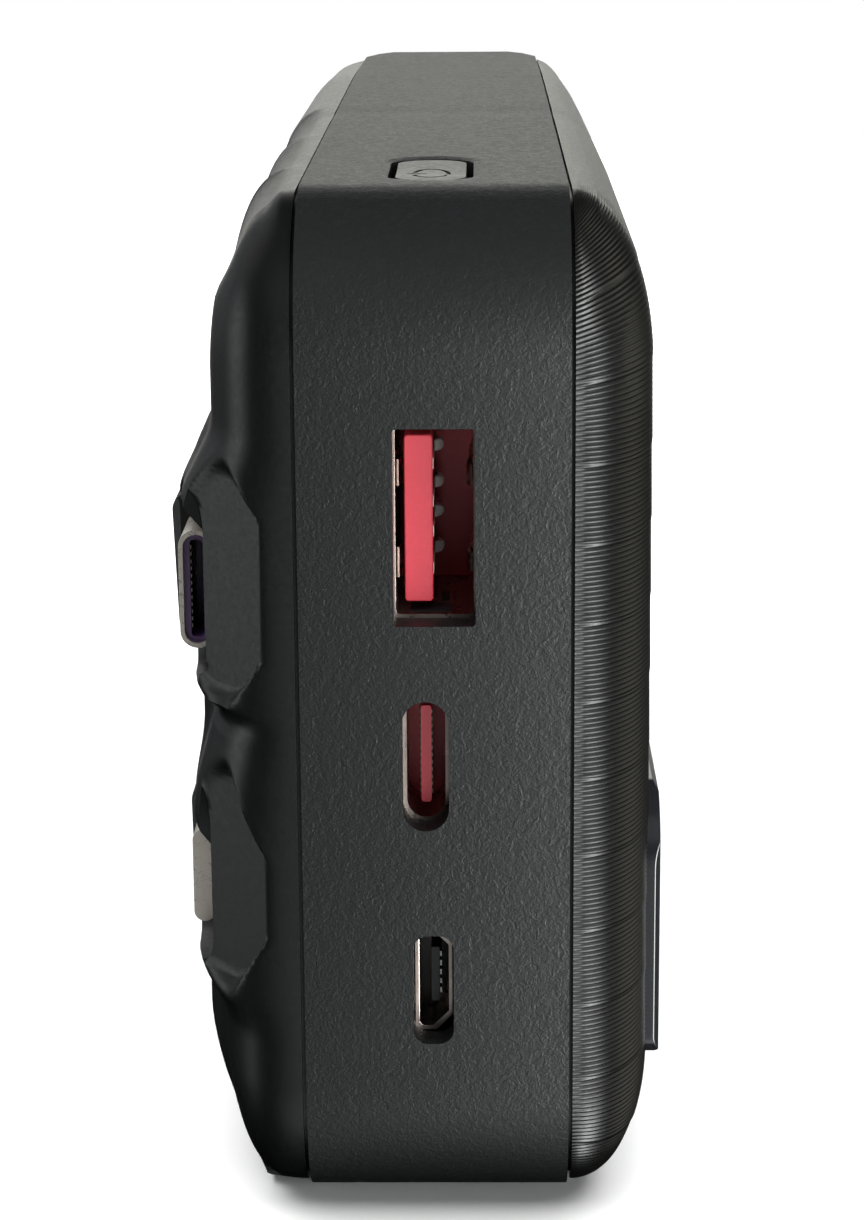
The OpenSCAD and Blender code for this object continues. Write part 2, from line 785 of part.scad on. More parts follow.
// The inductor stands behind the USB-C port
module power_inductor() {
  well_radius = 2.6;
  well_depth = 0.4;
  low = [board_face_x, inner_near_y + usb_c_depth + 5 * part_gap, usb_c_z - inductor_size[2] / 2];
  color([0.25, 0.25, 0.27]) difference() {
    block(low, low + inductor_size);
    translate([low[0] + inductor_size[0] - well_depth, low[1] + inductor_size[1] / 2, usb_c_z])
      rotate([0, 90, 0]) cylinder(h = well_depth + cut, r = well_radius);
  }
}

// One chip beside the USB-A port and one behind the micro-USB port
module control_chips() {
  color([0.06, 0.06, 0.06]) {
    translate([board_face_x, board_far_y - chip_size[1] - 4 * part_gap, usb_a_z - chip_size[2] - 1])
      cube(chip_size);
    translate([board_face_x, inner_near_y + micro_depth + 4 * part_gap, micro_z - chip_size[2] / 2])
      cube(chip_size);
  }
}

// The capacitors stand below the negative lead
module board_capacitors() {
  step = 2 * capacitor_radius + part_gap;
  high_z = negative_z - wire_radius - part_gap - capacitor_radius;
  color([0.75, 0.76, 0.78]) for (i = [0, 1])
    translate([board_face_x, board_far_y - capacitor_radius - 3 * part_gap, high_z - i * step])
      rotate([0, 90, 0]) cylinder(h = capacitor_height, r = capacitor_radius);
}

// ---- USB-A port -----------------------------------------------------------

leaf_places = [-3.2, 3.2];
leaf_width = 1.8;
leaf_slot = [2, 8];
leaf_bend = 0.3;
leaf_sheet = 0.2;

// A spring leaf in the shell's +X side: it leaves the wall behind its slot and
// bends into the port
module spring_leaf() {
  root = [usb_a_open[0] / 2, leaf_slot[1] + cut];
  crest = [usb_a_open[0] / 2 - leaf_bend, leaf_slot[0] + 2];
  tip = [usb_a_open[0] / 2, leaf_slot[0] + cut];
  over = [leaf_sheet, 0];
  linear_extrude(leaf_width, center = true)
    polygon([root, crest, tip, tip + over, crest + over, root + over]);
}

module usb_a_shell() {
  color(bare_steel) translate([0, inner_near_y, usb_a_z]) {
    difference() {
      along_y(0, usb_a_depth) rounded_rect(usb_a_outer, 0.6);
      along_y(-cut, usb_a_depth - sheet) rounded_rect(usb_a_open, 0.3);
      for (sx = [-1, 1], dz = leaf_places) translate([sx * usb_a_outer[0] / 2, 0, dz])
        block([-cut, leaf_slot[0], -leaf_width / 2 - fit_gap],
              [cut, leaf_slot[1], leaf_width / 2 + fit_gap]);
    }
    for (turn = [0, 1], dz = leaf_places) translate([0, 0, dz]) mirror([turn, 0, 0]) spring_leaf();
  }
}

module usb_a_tongue() {
  y1 = inner_near_y + usb_a_depth - sheet;
  color(port_red) {
    translate([usb_a_tongue_x, 0, usb_a_z]) along_y(inner_near_y + tongue_setback, y1 - usb_a_rear + cut)
      rounded_rect(usb_a_tongue, 0.25);
    translate([0, 0, usb_a_z]) along_y(y1 - usb_a_rear, y1) rounded_rect(usb_a_open, 0.3);
  }
}

module usb_a_contacts() {
  x0 = usb_a_tongue_x + usb_a_tongue[0] / 2;
  y0 = inner_near_y + tongue_setback + 0.8;
  y1 = inner_near_y + usb_a_depth - sheet - usb_a_rear;
  strip = [0.25, 0.9];
  bump = 0.35;
  color(gold) for (dz = usb_a_pitch) {
    block([x0, y0, usb_a_z + dz - strip[1] / 2], [x0 + strip[0], y1, usb_a_z + dz + strip[1] / 2]);
    translate([x0 + bump, y0 + 2 * bump, usb_a_z + dz - strip[1] / 2 + fit_gap])
      cylinder(h = strip[1] - 2 * fit_gap, r = bump, $fn = 24);
  }
}

// ---- USB-C port -----------------------------------------------------------

// Feet under a port's shell, down to the board
module shell_feet(x, z, outer, y0, depth) {
  foot = 0.8;
  for (dz = [-1, 1], dy = [1.5, depth - 1.5 - foot])
    block([board_face_x, y0 + dy, z + dz * (outer[1] / 2 - 1.6) - foot / 2],
          [x - outer[0] / 2 + sheet / 2, y0 + dy + foot, z + dz * (outer[1] / 2 - 1.6) + foot / 2]);
}

module usb_c_shell() {
  y0 = inner_near_y;
  color(bare_steel) {
    translate([usb_c_x, 0, usb_c_z]) difference() {
      along_y(y0, y0 + usb_c_depth) slot(usb_c_outer);
      along_y(y0 - cut, y0 + usb_c_depth - sheet) slot(usb_c_open);
    }
    shell_feet(usb_c_x, usb_c_z, usb_c_outer, y0, usb_c_depth);
  }
}

module usb_c_tongue() {
  y1 = inner_near_y + usb_c_depth - sheet;
  color(port_red) translate([usb_c_x, 0, usb_c_z]) {
    along_y(inner_near_y + tongue_setback, y1 - usb_c_rear + cut) rounded_rect(usb_c_tongue, 0.2);
    along_y(y1 - usb_c_rear, y1) slot(usb_c_open);
  }
}

module usb_c_contacts() {
  pad = [0.06, 0.25];
  y0 = inner_near_y + tongue_setback + 0.6;
  y1 = inner_near_y + usb_c_depth - sheet - usb_c_rear;
  color(gold) for (i = [0:usb_c_pads - 1], side = [-1, 1]) {
    z = usb_c_z + (i - (usb_c_pads - 1) / 2) * usb_c_pitch;
    x = usb_c_x + side * (usb_c_tongue[0] + pad[0]) / 2;
    block([x - pad[0] / 2, y0, z - pad[1] / 2], [x + pad[0] / 2, y1, z + pad[1] / 2]);
  }
}

// ---- Micro-USB port ---------------------------------------------------------

// The port's outline: rounded on its -X side and chamfered on its +X side
module micro_shape(size) {
  x = size[0] / 2;
  z = size[1] / 2;
  intersection() {
    rounded_rect(size, micro_round);
    polygon([[-x, -z], [x - micro_slope, -z], [x, -z + micro_slope],
             [x, z - micro_slope], [x - micro_slope, z], [-x, z]]);
  }
}

module micro_usb_shell() {
  y0 = inner_near_y;
  color(bare_steel) {
    translate([micro_x, 0, micro_z]) difference() {
      along_y(y0, y0 + micro_depth) micro_shape(micro_outer);
      along_y(y0 - cut, y0 + micro_depth - sheet) micro_shape(micro_open);
    }
    shell_feet(micro_x, micro_z, micro_outer, y0, micro_depth);
  }
}

module micro_usb_tongue() {
  y1 = inner_near_y + micro_depth - sheet;
  color([0.05, 0.05, 0.05]) translate([micro_x, 0, micro_z]) {
    translate([micro_tongue_x, 0, 0]) along_y(inner_near_y + tongue_setback, y1 - micro_rear + cut)
      rounded_rect(micro_tongue, 0.15);
    along_y(y1 - micro_rear, y1) micro_shape(micro_open);
  }
}

module micro_usb_contacts() {
  pad = [0.12, 0.36];
  x0 = micro_x + micro_tongue_x + micro_tongue[0] / 2;
  y0 = inner_near_y + tongue_setback + 0.4;
  y1 = inner_near_y + micro_depth - sheet - micro_rear;
  color(gold) for (i = [-2:2])
    block([x0, y0, micro_z + i * micro_pitch - pad[1] / 2],
          [x0 + pad[0], y1, micro_z + i * micro_pitch + pad[1] / 2]);
}

// ---- Power button -----------------------------------------------------------

button_top_z = body_height - bevel_depth;
flange_high_z = body_height - frame_wall - fit_gap;
flange_thickness = 0.8;
flange_grow = 0.8;
post_drop = 2.4;
plunger_radius = 1;
plunger_hole_gap = 0.15;
switch_x = board_face_x + switch_size[0] / 2;
post_low_z = flange_high_z - flange_thickness - post_drop;
switch_high_z = post_low_z - button_travel - 1.2;
plunger_sunk = 1;

module power_button() {
  cap = [button_slot[0] - 2 * button_gap, button_slot[1] - 2 * button_gap];
  flange = button_slot + [2 * flange_grow, 2 * flange_grow] - [2 * button_gap, 2 * button_gap];
  post = 1.5;
  dish_radius = 90;
  dish_depth = 0.1;
  icon_size = [2.7, 6.2];
  icon_line = 0.3;
  icon_depth = 0.12;
  icon_setback = 1.6;
  color(soft_black) difference() {
    union() {
      translate([button_x, button_y, 0]) {
        along_z(flange_high_z - flange_thickness / 2, button_top_z) slot(cap);
        along_z(flange_high_z - flange_thickness, flange_high_z) slot(flange);
      }
      block([switch_x - post, button_y - post, post_low_z],
            [switch_x + post, button_y + post, flange_high_z - flange_thickness / 2]);
    }
    translate([button_x - cap[0], button_y, button_top_z + dish_radius - dish_depth])
      rotate([0, 90, 0]) cylinder(h = 2 * cap[0], r = dish_radius, $fn = 128);
    // the on-off sign: an open oval ring with a stroke across its gap, which faces -X
    translate([button_x, button_y - icon_setback, 0])
      along_z(button_top_z - dish_depth - icon_depth, button_top_z + cut) {
        difference() {
          polygon(oval(icon_size));
          polygon(oval(icon_size - [2, 2] * icon_line));
          translate([-icon_size[0] / 2, 0]) square([icon_size[0], 6 * icon_line], center = true);
        }
        translate([-icon_size[0] / 2 - icon_line, -icon_line / 2])
          square([icon_size[0] / 2, icon_line]);
      }
  }
}

module switch_plunger() {
  color([0.1, 0.1, 0.1])
    translate([switch_x, button_y, switch_high_z - plunger_sunk])
      cylinder(h = post_low_z - switch_high_z + plunger_sunk, r = plunger_radius);
}

module button_switch() {
  color(bare_steel) difference() {
    block([board_face_x, button_y - switch_size[1] / 2, switch_high_z - switch_size[2]],
          [board_face_x + switch_size[0], button_y + switch_size[1] / 2, switch_high_z]);
    translate([switch_x, button_y, switch_high_z - plunger_sunk - button_travel - 2 * fit_gap])
      cylinder(h = 4, r = plunger_radius + plunger_hole_gap);
  }
}

// ---- Cells -------------------------------------------------------------------

back_cell_x = back_inner_x + ribbon_room;
pad_x = back_cell_x + cell_thickness;
front_cell_x = pad_x + pad_thickness;

// A pouch cell: a soft block with a thin sealed terrace at its tab end
module pouch_cell(x0) {
  fold = 2;
  color(pouch_silver) {
    along_x(x0, x0 + cell_thickness)
      translate([cell_near_y + terrace[1] + (cell_length - terrace[1]) / 2, body_height / 2])
        rounded_rect([cell_length - terrace[1], cell_width], fold);
    block([x0 + cell_thickness / 2 - terrace[0] / 2, cell_near_y, cell_low_z + fold],
          [x0 + cell_thickness / 2 + terrace[0] / 2, cell_near_y + terrace[1] + cut, cell_high_z - fold]);
  }
}

module front_cell() { pouch_cell(front_cell_x); }

module back_cell() { pouch_cell(back_cell_x); }

module cell_pad() {
  margin = 4;
  color([0.3, 0.3, 0.32])
    block([pad_x, cell_near_y + terrace[1] + margin, cell_low_z + margin],
          [pad_x + pad_thickness, cell_near_y + cell_length - margin, cell_high_z - margin]);
}

// Strips that join the like tabs of both cells
module cell_tabs() {
  color(bare_steel) for (z = [negative_z, positive_z])
    block([back_cell_x + cell_thickness / 2 - terrace[0], cell_near_y - tab_thickness, z - tab_height / 2],
          [front_cell_x + cell_thickness / 2 + terrace[0], cell_near_y, z + tab_height / 2]);
}

// A short wire from a tab strip onto the board
module cell_wire(z) {
  length = cell_near_y - tab_thickness - board_far_y + 2;
  translate([board_face_x + wire_radius, cell_near_y - tab_thickness, z]) rotate([90, 0, 0])
    cylinder(h = length, r = wire_radius, $fn = 32);
}

module positive_lead() { color([0.75, 0.1, 0.1]) cell_wire(positive_z); }

module negative_lead() { color([0.05, 0.05, 0.05]) cell_wire(negative_z); }

// ---- Built-in leads ------------------------------------------------------------

module type_c_plug_shell() {
  color(bare_steel) translate([plug_x, 0, type_c_z]) difference() {
    along_y(tip_y, boot_near_y + plug_hold) slot(type_c_plug);
    along_y(tip_y - cut, boot_near_y + plug_hold + cut) slot(type_c_plug_open);
  }
}

// Moulded core inside the plug, open at the mouth to take a port's tongue
module type_c_plug_insert() {
  mouth_depth = 4.5;
  color([0.33, 0.2, 0.42]) translate([plug_x, 0, type_c_z]) difference() {
    along_y(tip_y + plug_recess, boot_near_y + plug_hold) slot(type_c_plug_open);
    along_y(tip_y - cut, tip_y + plug_recess + mouth_depth) rounded_rect(plug_mouth, 0.3);
  }
}

module type_c_plug_contacts() {
  pad = [0.06, 0.25];
  reach = [0.9, 4];
  color(gold) for (i = [0:usb_c_pads - 1], side = [-1, 1]) {
    z = type_c_z + (i - (usb_c_pads - 1) / 2) * usb_c_pitch;
    x = plug_x + side * (plug_mouth[0] - pad[0]) / 2;
    block([x - pad[0] / 2, tip_y + reach[0], z - pad[1] / 2],
          [x + pad[0] / 2, tip_y + reach[1], z + pad[1] / 2]);
  }
}

// Moulded grip behind a plug: broad beside the plug and waisted towards the lead
module plug_boot(z, width, plug_size) {
  waist = lead_width + 2.4;
  edge = 0.6;
  neck_y = boot_near_y + boot_length * 0.6;
  low_x = plug_x - boot_thickness / 2;
  high_x = plug_x + boot_thickness / 2;
  color(soft_black) difference() {
    intersection() {
      along_y(boot_near_y, boot_far_y) translate([plug_x, z]) rounded_rect([boot_thickness, width], 1.4);
      along_x(low_x, high_x)
        polygon([[boot_near_y, z - width / 2 + edge], [boot_near_y + edge, z - width / 2],
                 [neck_y, z - width / 2], [boot_far_y, z - waist / 2],
                 [boot_far_y, z + waist / 2], [neck_y, z + width / 2],
                 [boot_near_y + edge, z + width / 2], [boot_near_y, z + width / 2 - edge]]);
      along_z(z - width / 2, z + width / 2)
        polygon([[low_x + edge, boot_near_y], [low_x, boot_near_y + edge],
                 [low_x, neck_y], [lead_x - lead_thickness / 2 - edge, boot_far_y],
                 [high_x - edge / 2, boot_far_y], [high_x, boot_far_y - edge], [high_x, boot_near_y]]);
    }
    translate([plug_x, 0, z]) along_y(boot_near_y - cut, boot_near_y + plug_hold) slot(plug_size);
  }
}

module type_c_plug_boot() { plug_boot(type_c_z, boot_width, type_c_plug); }

// Flat lead from the grip to its pivot, with a round end at the pivot
module flat_lead(z) {
  color(soft_black) {
    translate([lead_x, 0, z]) along_y(boot_far_y, pivot_y)
      rounded_rect([lead_thickness, lead_width], lead_thickness / 2 - 0.001);
    translate([lead_x, pivot_y, z - lead_width / 2 + lead_thickness / 2])
      cylinder(h = lead_width - lead_thickness, r = lead_thickness / 2);
    for (side = [-1, 1])
      translate([lead_x, pivot_y, z + side * (lead_width - lead_thickness) / 2])
        sphere(r = lead_thickness / 2, $fn = 32);
  }
}

module type_c_lead() { flat_lead(type_c_z); }

// Anchor that carries a lead through the back cover's wall
module lead_anchor(z) {
  color(soft_black) {
    block([bay_x, anchor_near_y, z - anchor_width / 2 + fit_gap],
          [lead_floor_x, anchor_near_y + anchor_length, z + anchor_width / 2 - fit_gap]);
    translate([lead_floor_x - cut, anchor_near_y + anchor_length / 2, z]) rotate([0, 90, 0])
      cylinder(h = back_inner_x - lead_floor_x + cut, r = spigot_radius - fit_gap);
  }
}

module type_c_anchor() { lead_anchor(type_c_z); }

// Flat cable inside the back cover, from an anchor to the back of the main board
module lead_ribbon(z) {
  lap = 1.5;
  y0 = board_far_y - lap;
  y1 = anchor_near_y + anchor_length / 2 + spigot_radius;
  color([0.78, 0.55, 0.2]) {
    block([back_inner_x, y0, z - ribbon_width / 2],
          [back_inner_x + ribbon_thickness, y1, z + ribbon_width / 2]);
    block([back_inner_x, y0, z - ribbon_width / 2],
          [board_back_x, y0 + ribbon_thickness, z + ribbon_width / 2]);
  }
}

module type_c_ribbon() { lead_ribbon(type_c_z); }

// Solid tip with a shallow well for its contacts on both broad sides
module slim_plug_tip() {
  well = [1.3, 5.2];
  well_depth = 0.1;
  color(bare_steel) translate([plug_x, 0, slim_z]) difference() {
    along_y(tip_y, boot_near_y + plug_hold) slot(slim_plug);
    for (side = [-1, 1])
      translate([side * slim_plug[0] / 2, 0, 0]) along_y(tip_y + well[0], tip_y + well[1])
        square([2 * well_depth, slim_pads * slim_pitch], center = true);
  }
}

module slim_plug_contacts() {
  pad = [0.08, 0.38];
  reach = [1.5, 5];
  well_depth = 0.1;
  color(gold) for (i = [0:slim_pads - 1], side = [-1, 1]) {
    z = slim_z + (i - (slim_pads - 1) / 2) * slim_pitch;
    x = plug_x + side * (slim_plug[0] / 2 - well_depth + pad[0] / 2);
    block([x - pad[0] / 2, tip_y + reach[0], z - pad[1] / 2],
          [x + pad[0] / 2, tip_y + reach[1], z + pad[1] / 2]);
  }
}

module slim_plug_boot() { plug_boot(slim_z, slim_boot_width, slim_plug); }

module slim_lead() { flat_lead(slim_z); }

module slim_anchor() { lead_anchor(slim_z); }

module slim_ribbon() { lead_ribbon(slim_z); }

// ---- Build -----------------------------------------------------------------------

mid_frame();
front_cover();
back_cover();
display_window();
display_module();
display_board();
display_ribbon();
main_board();
board_screws();
power_inductor();
control_chips();
board_capacitors();
usb_a_shell();
usb_a_tongue();
usb_a_contacts();
usb_c_shell();
usb_c_tongue();
usb_c_contacts();
micro_usb_shell();
micro_usb_tongue();
micro_usb_contacts();
button_switch();
power_button();
switch_plunger();
front_cell();
back_cell();
cell_pad();
cell_tabs();
positive_lead();
negative_lead();
type_c_plug_shell();
type_c_plug_insert();
type_c_plug_contacts();
type_c_plug_boot();
type_c_lead();
type_c_anchor();
type_c_ribbon();
slim_plug_tip();
slim_plug_contacts();
slim_plug_boot();
slim_lead();
slim_anchor();
slim_ribbon();
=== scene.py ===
"""Looks for the power bank: fine shells, leads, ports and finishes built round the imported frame.

Lengths inside the helpers are millimetres in the frame's own axes, and meshes are written in metres.
A depth d runs from the port end to the far end, and a width x or w from the middle plane outwards.
"""
import math

import bmesh
import bpy
import numpy as np
from mathutils import Matrix, Vector


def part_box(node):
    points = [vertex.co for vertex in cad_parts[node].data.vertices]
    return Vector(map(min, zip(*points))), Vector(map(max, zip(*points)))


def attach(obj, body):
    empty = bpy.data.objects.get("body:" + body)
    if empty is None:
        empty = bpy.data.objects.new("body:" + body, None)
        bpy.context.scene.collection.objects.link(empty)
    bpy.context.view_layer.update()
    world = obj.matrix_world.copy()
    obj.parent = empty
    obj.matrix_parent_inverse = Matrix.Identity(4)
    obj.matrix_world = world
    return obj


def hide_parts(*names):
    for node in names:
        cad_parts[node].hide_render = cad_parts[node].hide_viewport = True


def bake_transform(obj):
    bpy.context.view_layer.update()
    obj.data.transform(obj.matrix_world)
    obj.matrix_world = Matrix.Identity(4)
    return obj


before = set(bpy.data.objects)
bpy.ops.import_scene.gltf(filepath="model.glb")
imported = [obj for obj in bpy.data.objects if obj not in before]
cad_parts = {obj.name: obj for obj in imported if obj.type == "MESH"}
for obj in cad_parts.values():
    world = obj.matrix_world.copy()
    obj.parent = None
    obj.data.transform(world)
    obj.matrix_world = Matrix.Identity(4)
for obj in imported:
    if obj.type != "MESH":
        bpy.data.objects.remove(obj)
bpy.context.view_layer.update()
MM = 0.001


def corners(node):
    """Lowest and highest corner of a CAD node, in millimetres."""
    low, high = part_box(node)
    return np.array(low) / MM, np.array(high) / MM


# ---- Sizes read from the frame ------------------------------------------------------
FRAME_LOW, FRAME_HIGH = corners("mid_frame")
NEAR, FAR = FRAME_LOW[1], FRAME_HIGH[1]
INSET = 0.3                                 # the covers lie this far inside the frame's outline
HEIGHT = corners("back_cover")[1][2] + INSET
CORNER = 10.0 - INSET                       # radius of the covers' corners seen from the side
RIM = 1.2                                   # the frame's locating rim beyond each parting face
HALF = FRAME_HIGH[0] - RIM                  # middle plane to parting face
SEAM = 0.25                                 # width of the seam round each cover

# ---- Camera: sizes in millimetres, angles in radians ------------------------------------
SENSOR, LENS = 36.0, 90.808525
TILT, TURN, ROLL = 0.247478, -0.016566, -0.006967
eye = Vector((3.05, NEAR - 192.86, 92.37)) * MM
forward = Vector((math.sin(TURN) * math.cos(TILT), math.cos(TURN) * math.cos(TILT), -math.sin(TILT)))
side = Vector((math.cos(TURN), -math.sin(TURN), 0.0))
above = side.cross(forward)
right = side * math.cos(ROLL) + above * math.sin(ROLL)
up = above * math.cos(ROLL) - side * math.sin(ROLL)
camera = bpy.data.objects.new("camera", bpy.data.cameras.new("camera"))
bpy.context.scene.collection.objects.link(camera)
camera.data.sensor_width = SENSOR
camera.data.lens = LENS
camera.data.clip_start, camera.data.clip_end = 0.01, 50.0
camera.matrix_world = Matrix.Translation(eye) @ Matrix((right, up, -forward)).transposed().to_4x4()
bpy.context.scene.camera = camera


# ---- Materials ------------------------------------------------------------------------
class Nodes:
    """Small helper that adds and links shader nodes."""

    def __init__(self, name):
        self.material = bpy.data.materials.new(name)
        self.material.use_nodes = True
        self.tree = self.material.node_tree
        self.shader = self.tree.nodes["Principled BSDF"]
        self.where = self.tree.nodes.new("ShaderNodeTexCoord").outputs["Object"]

    def add(self, kind, links=(), **values):
        node = self.tree.nodes.new(kind)
        for key, value in values.items():
            if key in node.inputs:
                node.inputs[key].default_value = value
            else:
                setattr(node, key, value)
        for key, source in links:
            self.tree.links.new(source, node.inputs[key])
        return node

    def noise(self, scale, detail=2.0, rough=0.5, distort=0.0, where=None):
        return self.add("ShaderNodeTexNoise", [("Vector", where or self.where)], Scale=scale,
                        Detail=detail, Roughness=rough, Distortion=distort).outputs["Fac"]

    def ramp(self, source, low, high, first, last):
        return self.add("ShaderNodeMapRange", [("Value", source)], **{
            "From Min": low, "From Max": high, "To Min": first, "To Max": last}).outputs["Result"]

    def maths(self, operation, a, b):
        node = self.add("ShaderNodeMath", operation=operation)
        for i, v in enumerate((a, b)):
            if isinstance(v, (int, float)):
                node.inputs[i].default_value = v
            else:
                self.tree.links.new(v, node.inputs[i])
        return node.outputs[0]

    def blend(self, fac, a, b):
        node = self.add("ShaderNodeMix", data_type="RGBA")
        self.tree.links.new(fac, node.inputs["Factor"])
        node.inputs["A"].default_value = (*a, 1)
        node.inputs["B"].default_value = (*b, 1)
        return node.outputs["Result"]

    def set(self, **values):
        for key, value in values.items():
            name = key.replace("_", " ")
            if isinstance(value, bpy.types.NodeSocket):
                self.tree.links.new(value, self.shader.inputs[name])
            else:
                self.shader.inputs[name].default_value = value

    def bump(self, height, distance, strength):
        return self.add("ShaderNodeBump", [("Height", height)], Strength=strength,
                        Distance=distance * MM).outputs["Normal"]


def shade(colour, factor):
    return tuple(min(1.0, c * factor) for c in colour)


def moulded(name, colour, rough, grain=1.0, size=0.3, depth=0.02, painted_glint=0.0, spec=0.5):
    """Moulded plastic with an eroded grain, whose crests carry a painted glint: size and depth in
    millimetres.
    """
    n = Nodes(name)
    coarse = n.noise(1 / (size * 2.4 * MM), 3.0, 0.55, 0.8)
    fine = n.noise(1 / (size * 0.9 * MM), 2.0, 0.6, 0.3)
    cloud = n.noise(45, 2.0)
    grainy = n.maths("ADD", n.maths("MULTIPLY", coarse, 0.65), n.maths("MULTIPLY", fine, 0.35))
    # painted glint: the base colour is lighter on the grain's crests, standing in for glints of light; the
    # cloud gives a random tone
    tint = n.maths("ADD", n.ramp(cloud, 0.3, 0.7, 0.3, 0.55), n.ramp(grainy, 0.5, 0.72, 0.0, painted_glint))
    n.set(Base_Color=n.blend(tint, shade(colour, 0.75), shade(colour, 1.45)),
          Roughness=n.ramp(grainy, 0.35, 0.7, rough + 0.06, rough - 0.08),
          Specular_IOR_Level=spec, Normal=n.bump(grainy, depth, grain))
    return n.material


def metal(name, colour, rough, brushed=0.15, metallic=1.0, fine=900):
    """Metal brushed along the depth, with patches of wear that fine makes smaller."""
    n = Nodes(name)
    stretched = n.add("ShaderNodeMapping", [("Vector", n.where)], Scale=(1.0, 0.12, 1.0)).outputs["Vector"]
    lines = n.noise(6000, 2.0, 0.6, 0.0, stretched)
    wear = n.noise(fine, 3.0, 0.6)
    n.set(Base_Color=n.blend(n.ramp(wear, 0.35, 0.7, 0.0, 1.0), shade(colour, 0.92), shade(colour, 1.04)),
          Metallic=metallic, Roughness=n.ramp(wear, 0.3, 0.75, rough - 0.06, rough + 0.1),
          Normal=n.bump(lines, 0.004, brushed))
    return n.material


# moulded: colour, roughness, grain, its size and depth, painted glint on the grain's crests, specular level
# metal: colour, roughness, brushing, metallic share, fineness of the wear
FINISHES = {
    "frame_plastic": (moulded, (0.0048, 0.0055, 0.0055), 0.5, 1.0, 0.19, 0.07, 1.2, 0.5),
    "front_plastic": (moulded, (0.0028, 0.0028, 0.0025), 0.41, 0.4, 0.12, 0.004, 0.2, 0.5),
    "back_plastic": (moulded, (0.0024, 0.0027, 0.0027), 0.4, 0.6, 0.16, 0.008, 0.3, 0.45),
    "button_plastic": (moulded, (0.0045, 0.005, 0.005), 0.42, 0.6, 0.18, 0.01, 0.3, 0.45),
    "smoked_window": (moulded, (0.012, 0.013, 0.015), 0.1, 0.05, 0.5, 0.002, 0.0, 0.6),
    "display_white": (moulded, (0.72, 0.73, 0.72), 0.55, 0.3, 0.2, 0.004),
    "board_green": (moulded, (0.02, 0.16, 0.07), 0.35, 0.4, 0.6, 0.004),
    "ribbon_amber": (moulded, (0.62, 0.3, 0.06), 0.3, 0.3, 0.5, 0.003),
    "screw_steel": (metal, (0.6, 0.6, 0.58), 0.3),
    "ferrite": (moulded, (0.08, 0.08, 0.085), 0.6, 0.8, 0.2, 0.01),
    "chip_black": (moulded, (0.015, 0.015, 0.016), 0.55, 0.6, 0.1, 0.004),
    "capacitor_can": (metal, (0.75, 0.76, 0.77), 0.28),
    "port_steel": (metal, (0.6, 0.5, 0.45), 0.3, 0.1),
    "port_red": (moulded, (0.56, 0.045, 0.066), 0.42, 0.5, 0.12, 0.005, 0.2, 0.5),
    "port_black": (moulded, (0.012, 0.012, 0.013), 0.4, 0.4, 0.12, 0.004),
    "contact_gold": (metal, (0.55, 0.5, 0.4), 0.3),
    "contact_tin": (metal, (0.85, 0.82, 0.78), 0.4, 0.1, 0.0),
    "contact_grey": (metal, (0.5, 0.5, 0.47), 0.35),
    "pouch_foil": (metal, (0.7, 0.7, 0.72), 0.35, 0.3),
    "foam_pad": (moulded, (0.1, 0.1, 0.11), 0.9, 1.0, 0.4, 0.05),
    "tab_nickel": (metal, (0.66, 0.64, 0.6), 0.3),
    "wire_red": (moulded, (0.5, 0.02, 0.02), 0.45, 0.3, 0.3, 0.004),
    "wire_black": (moulded, (0.02, 0.02, 0.02), 0.45, 0.3, 0.3, 0.004),
    "plug_steel": (metal, (0.5, 0.46, 0.41), 0.3, 0.1, 0.65, 1500),
    "plug_violet": (moulded, (0.05, 0.022, 0.075), 0.4, 0.4, 0.15, 0.004),
    "lead_rubber": (moulded, (0.005, 0.0053, 0.0055), 0.5, 0.7, 0.2, 0.008, 0.3, 0.4),
}
MATERIALS = {name: make(name, *values) for name, (make, *values) in FINISHES.items()}
NODE_SLOTS = {
    "mid_frame": "frame_plastic", "front_cover": "front_plastic", "back_cover": "back_plastic",
    "display_window": "smoked_window", "display_module": "display_white", "display_board": "board_green",
    "display_ribbon": "ribbon_amber", "main_board": "board_green", "board_screws": "screw_steel",
    "power_inductor": "ferrite", "control_chips": "chip_black", "board_capacitors": "capacitor_can",
    "usb_a_shell": "port_steel", "usb_a_tongue": "port_red", "usb_a_contacts": "contact_gold",
    "usb_c_shell": "port_steel", "usb_c_tongue": "port_red", "usb_c_contacts": "contact_gold",
    "micro_usb_shell": "port_steel", "micro_usb_tongue": "port_black", "micro_usb_contacts": "contact_grey",
    "button_switch": "screw_steel", "power_button": "button_plastic", "switch_plunger": "chip_black",
    "front_cell": "pouch_foil", "back_cell": "pouch_foil", "cell_pad": "foam_pad", "cell_tabs": "tab_nickel",
    "positive_lead": "wire_red", "negative_lead": "wire_black",
    "type_c_plug_shell": "plug_steel", "type_c_plug_insert": "plug_violet",
    "type_c_plug_contacts": "contact_gold", "type_c_plug_boot": "lead_rubber", "type_c_lead": "lead_rubber",
    "type_c_anchor": "lead_rubber", "type_c_ribbon": "ribbon_amber", "slim_plug_tip": "plug_steel",
    "slim_plug_contacts": "contact_gold", "slim_plug_boot": "lead_rubber", "slim_lead": "lead_rubber",
    "slim_anchor": "lead_rubber", "slim_ribbon": "ribbon_amber",
}
for node_name, node_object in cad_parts.items():
    node_object.data.materials.clear()
    node_object.data.materials.append(MATERIALS[NODE_SLOTS[node_name]])


# ---- Mesh helpers ---------------------------------------------------------------------
def finish_mesh(name, mesh, slot, body, nodes=(), sharp=32.0):
    """Makes the object of a piece, with its finish, its body and the nodes it stands for."""
    mesh.shade_smooth()
    mesh.set_sharp_from_angle(angle=math.radians(sharp))
    mesh.materials.clear()
    mesh.materials.append(MATERIALS[slot])
    piece = bpy.data.objects.new(name, mesh)
    bpy.context.scene.collection.objects.link(piece)
    if body:
        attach(piece, body)
    if nodes:
        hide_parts(*nodes)
    return piece


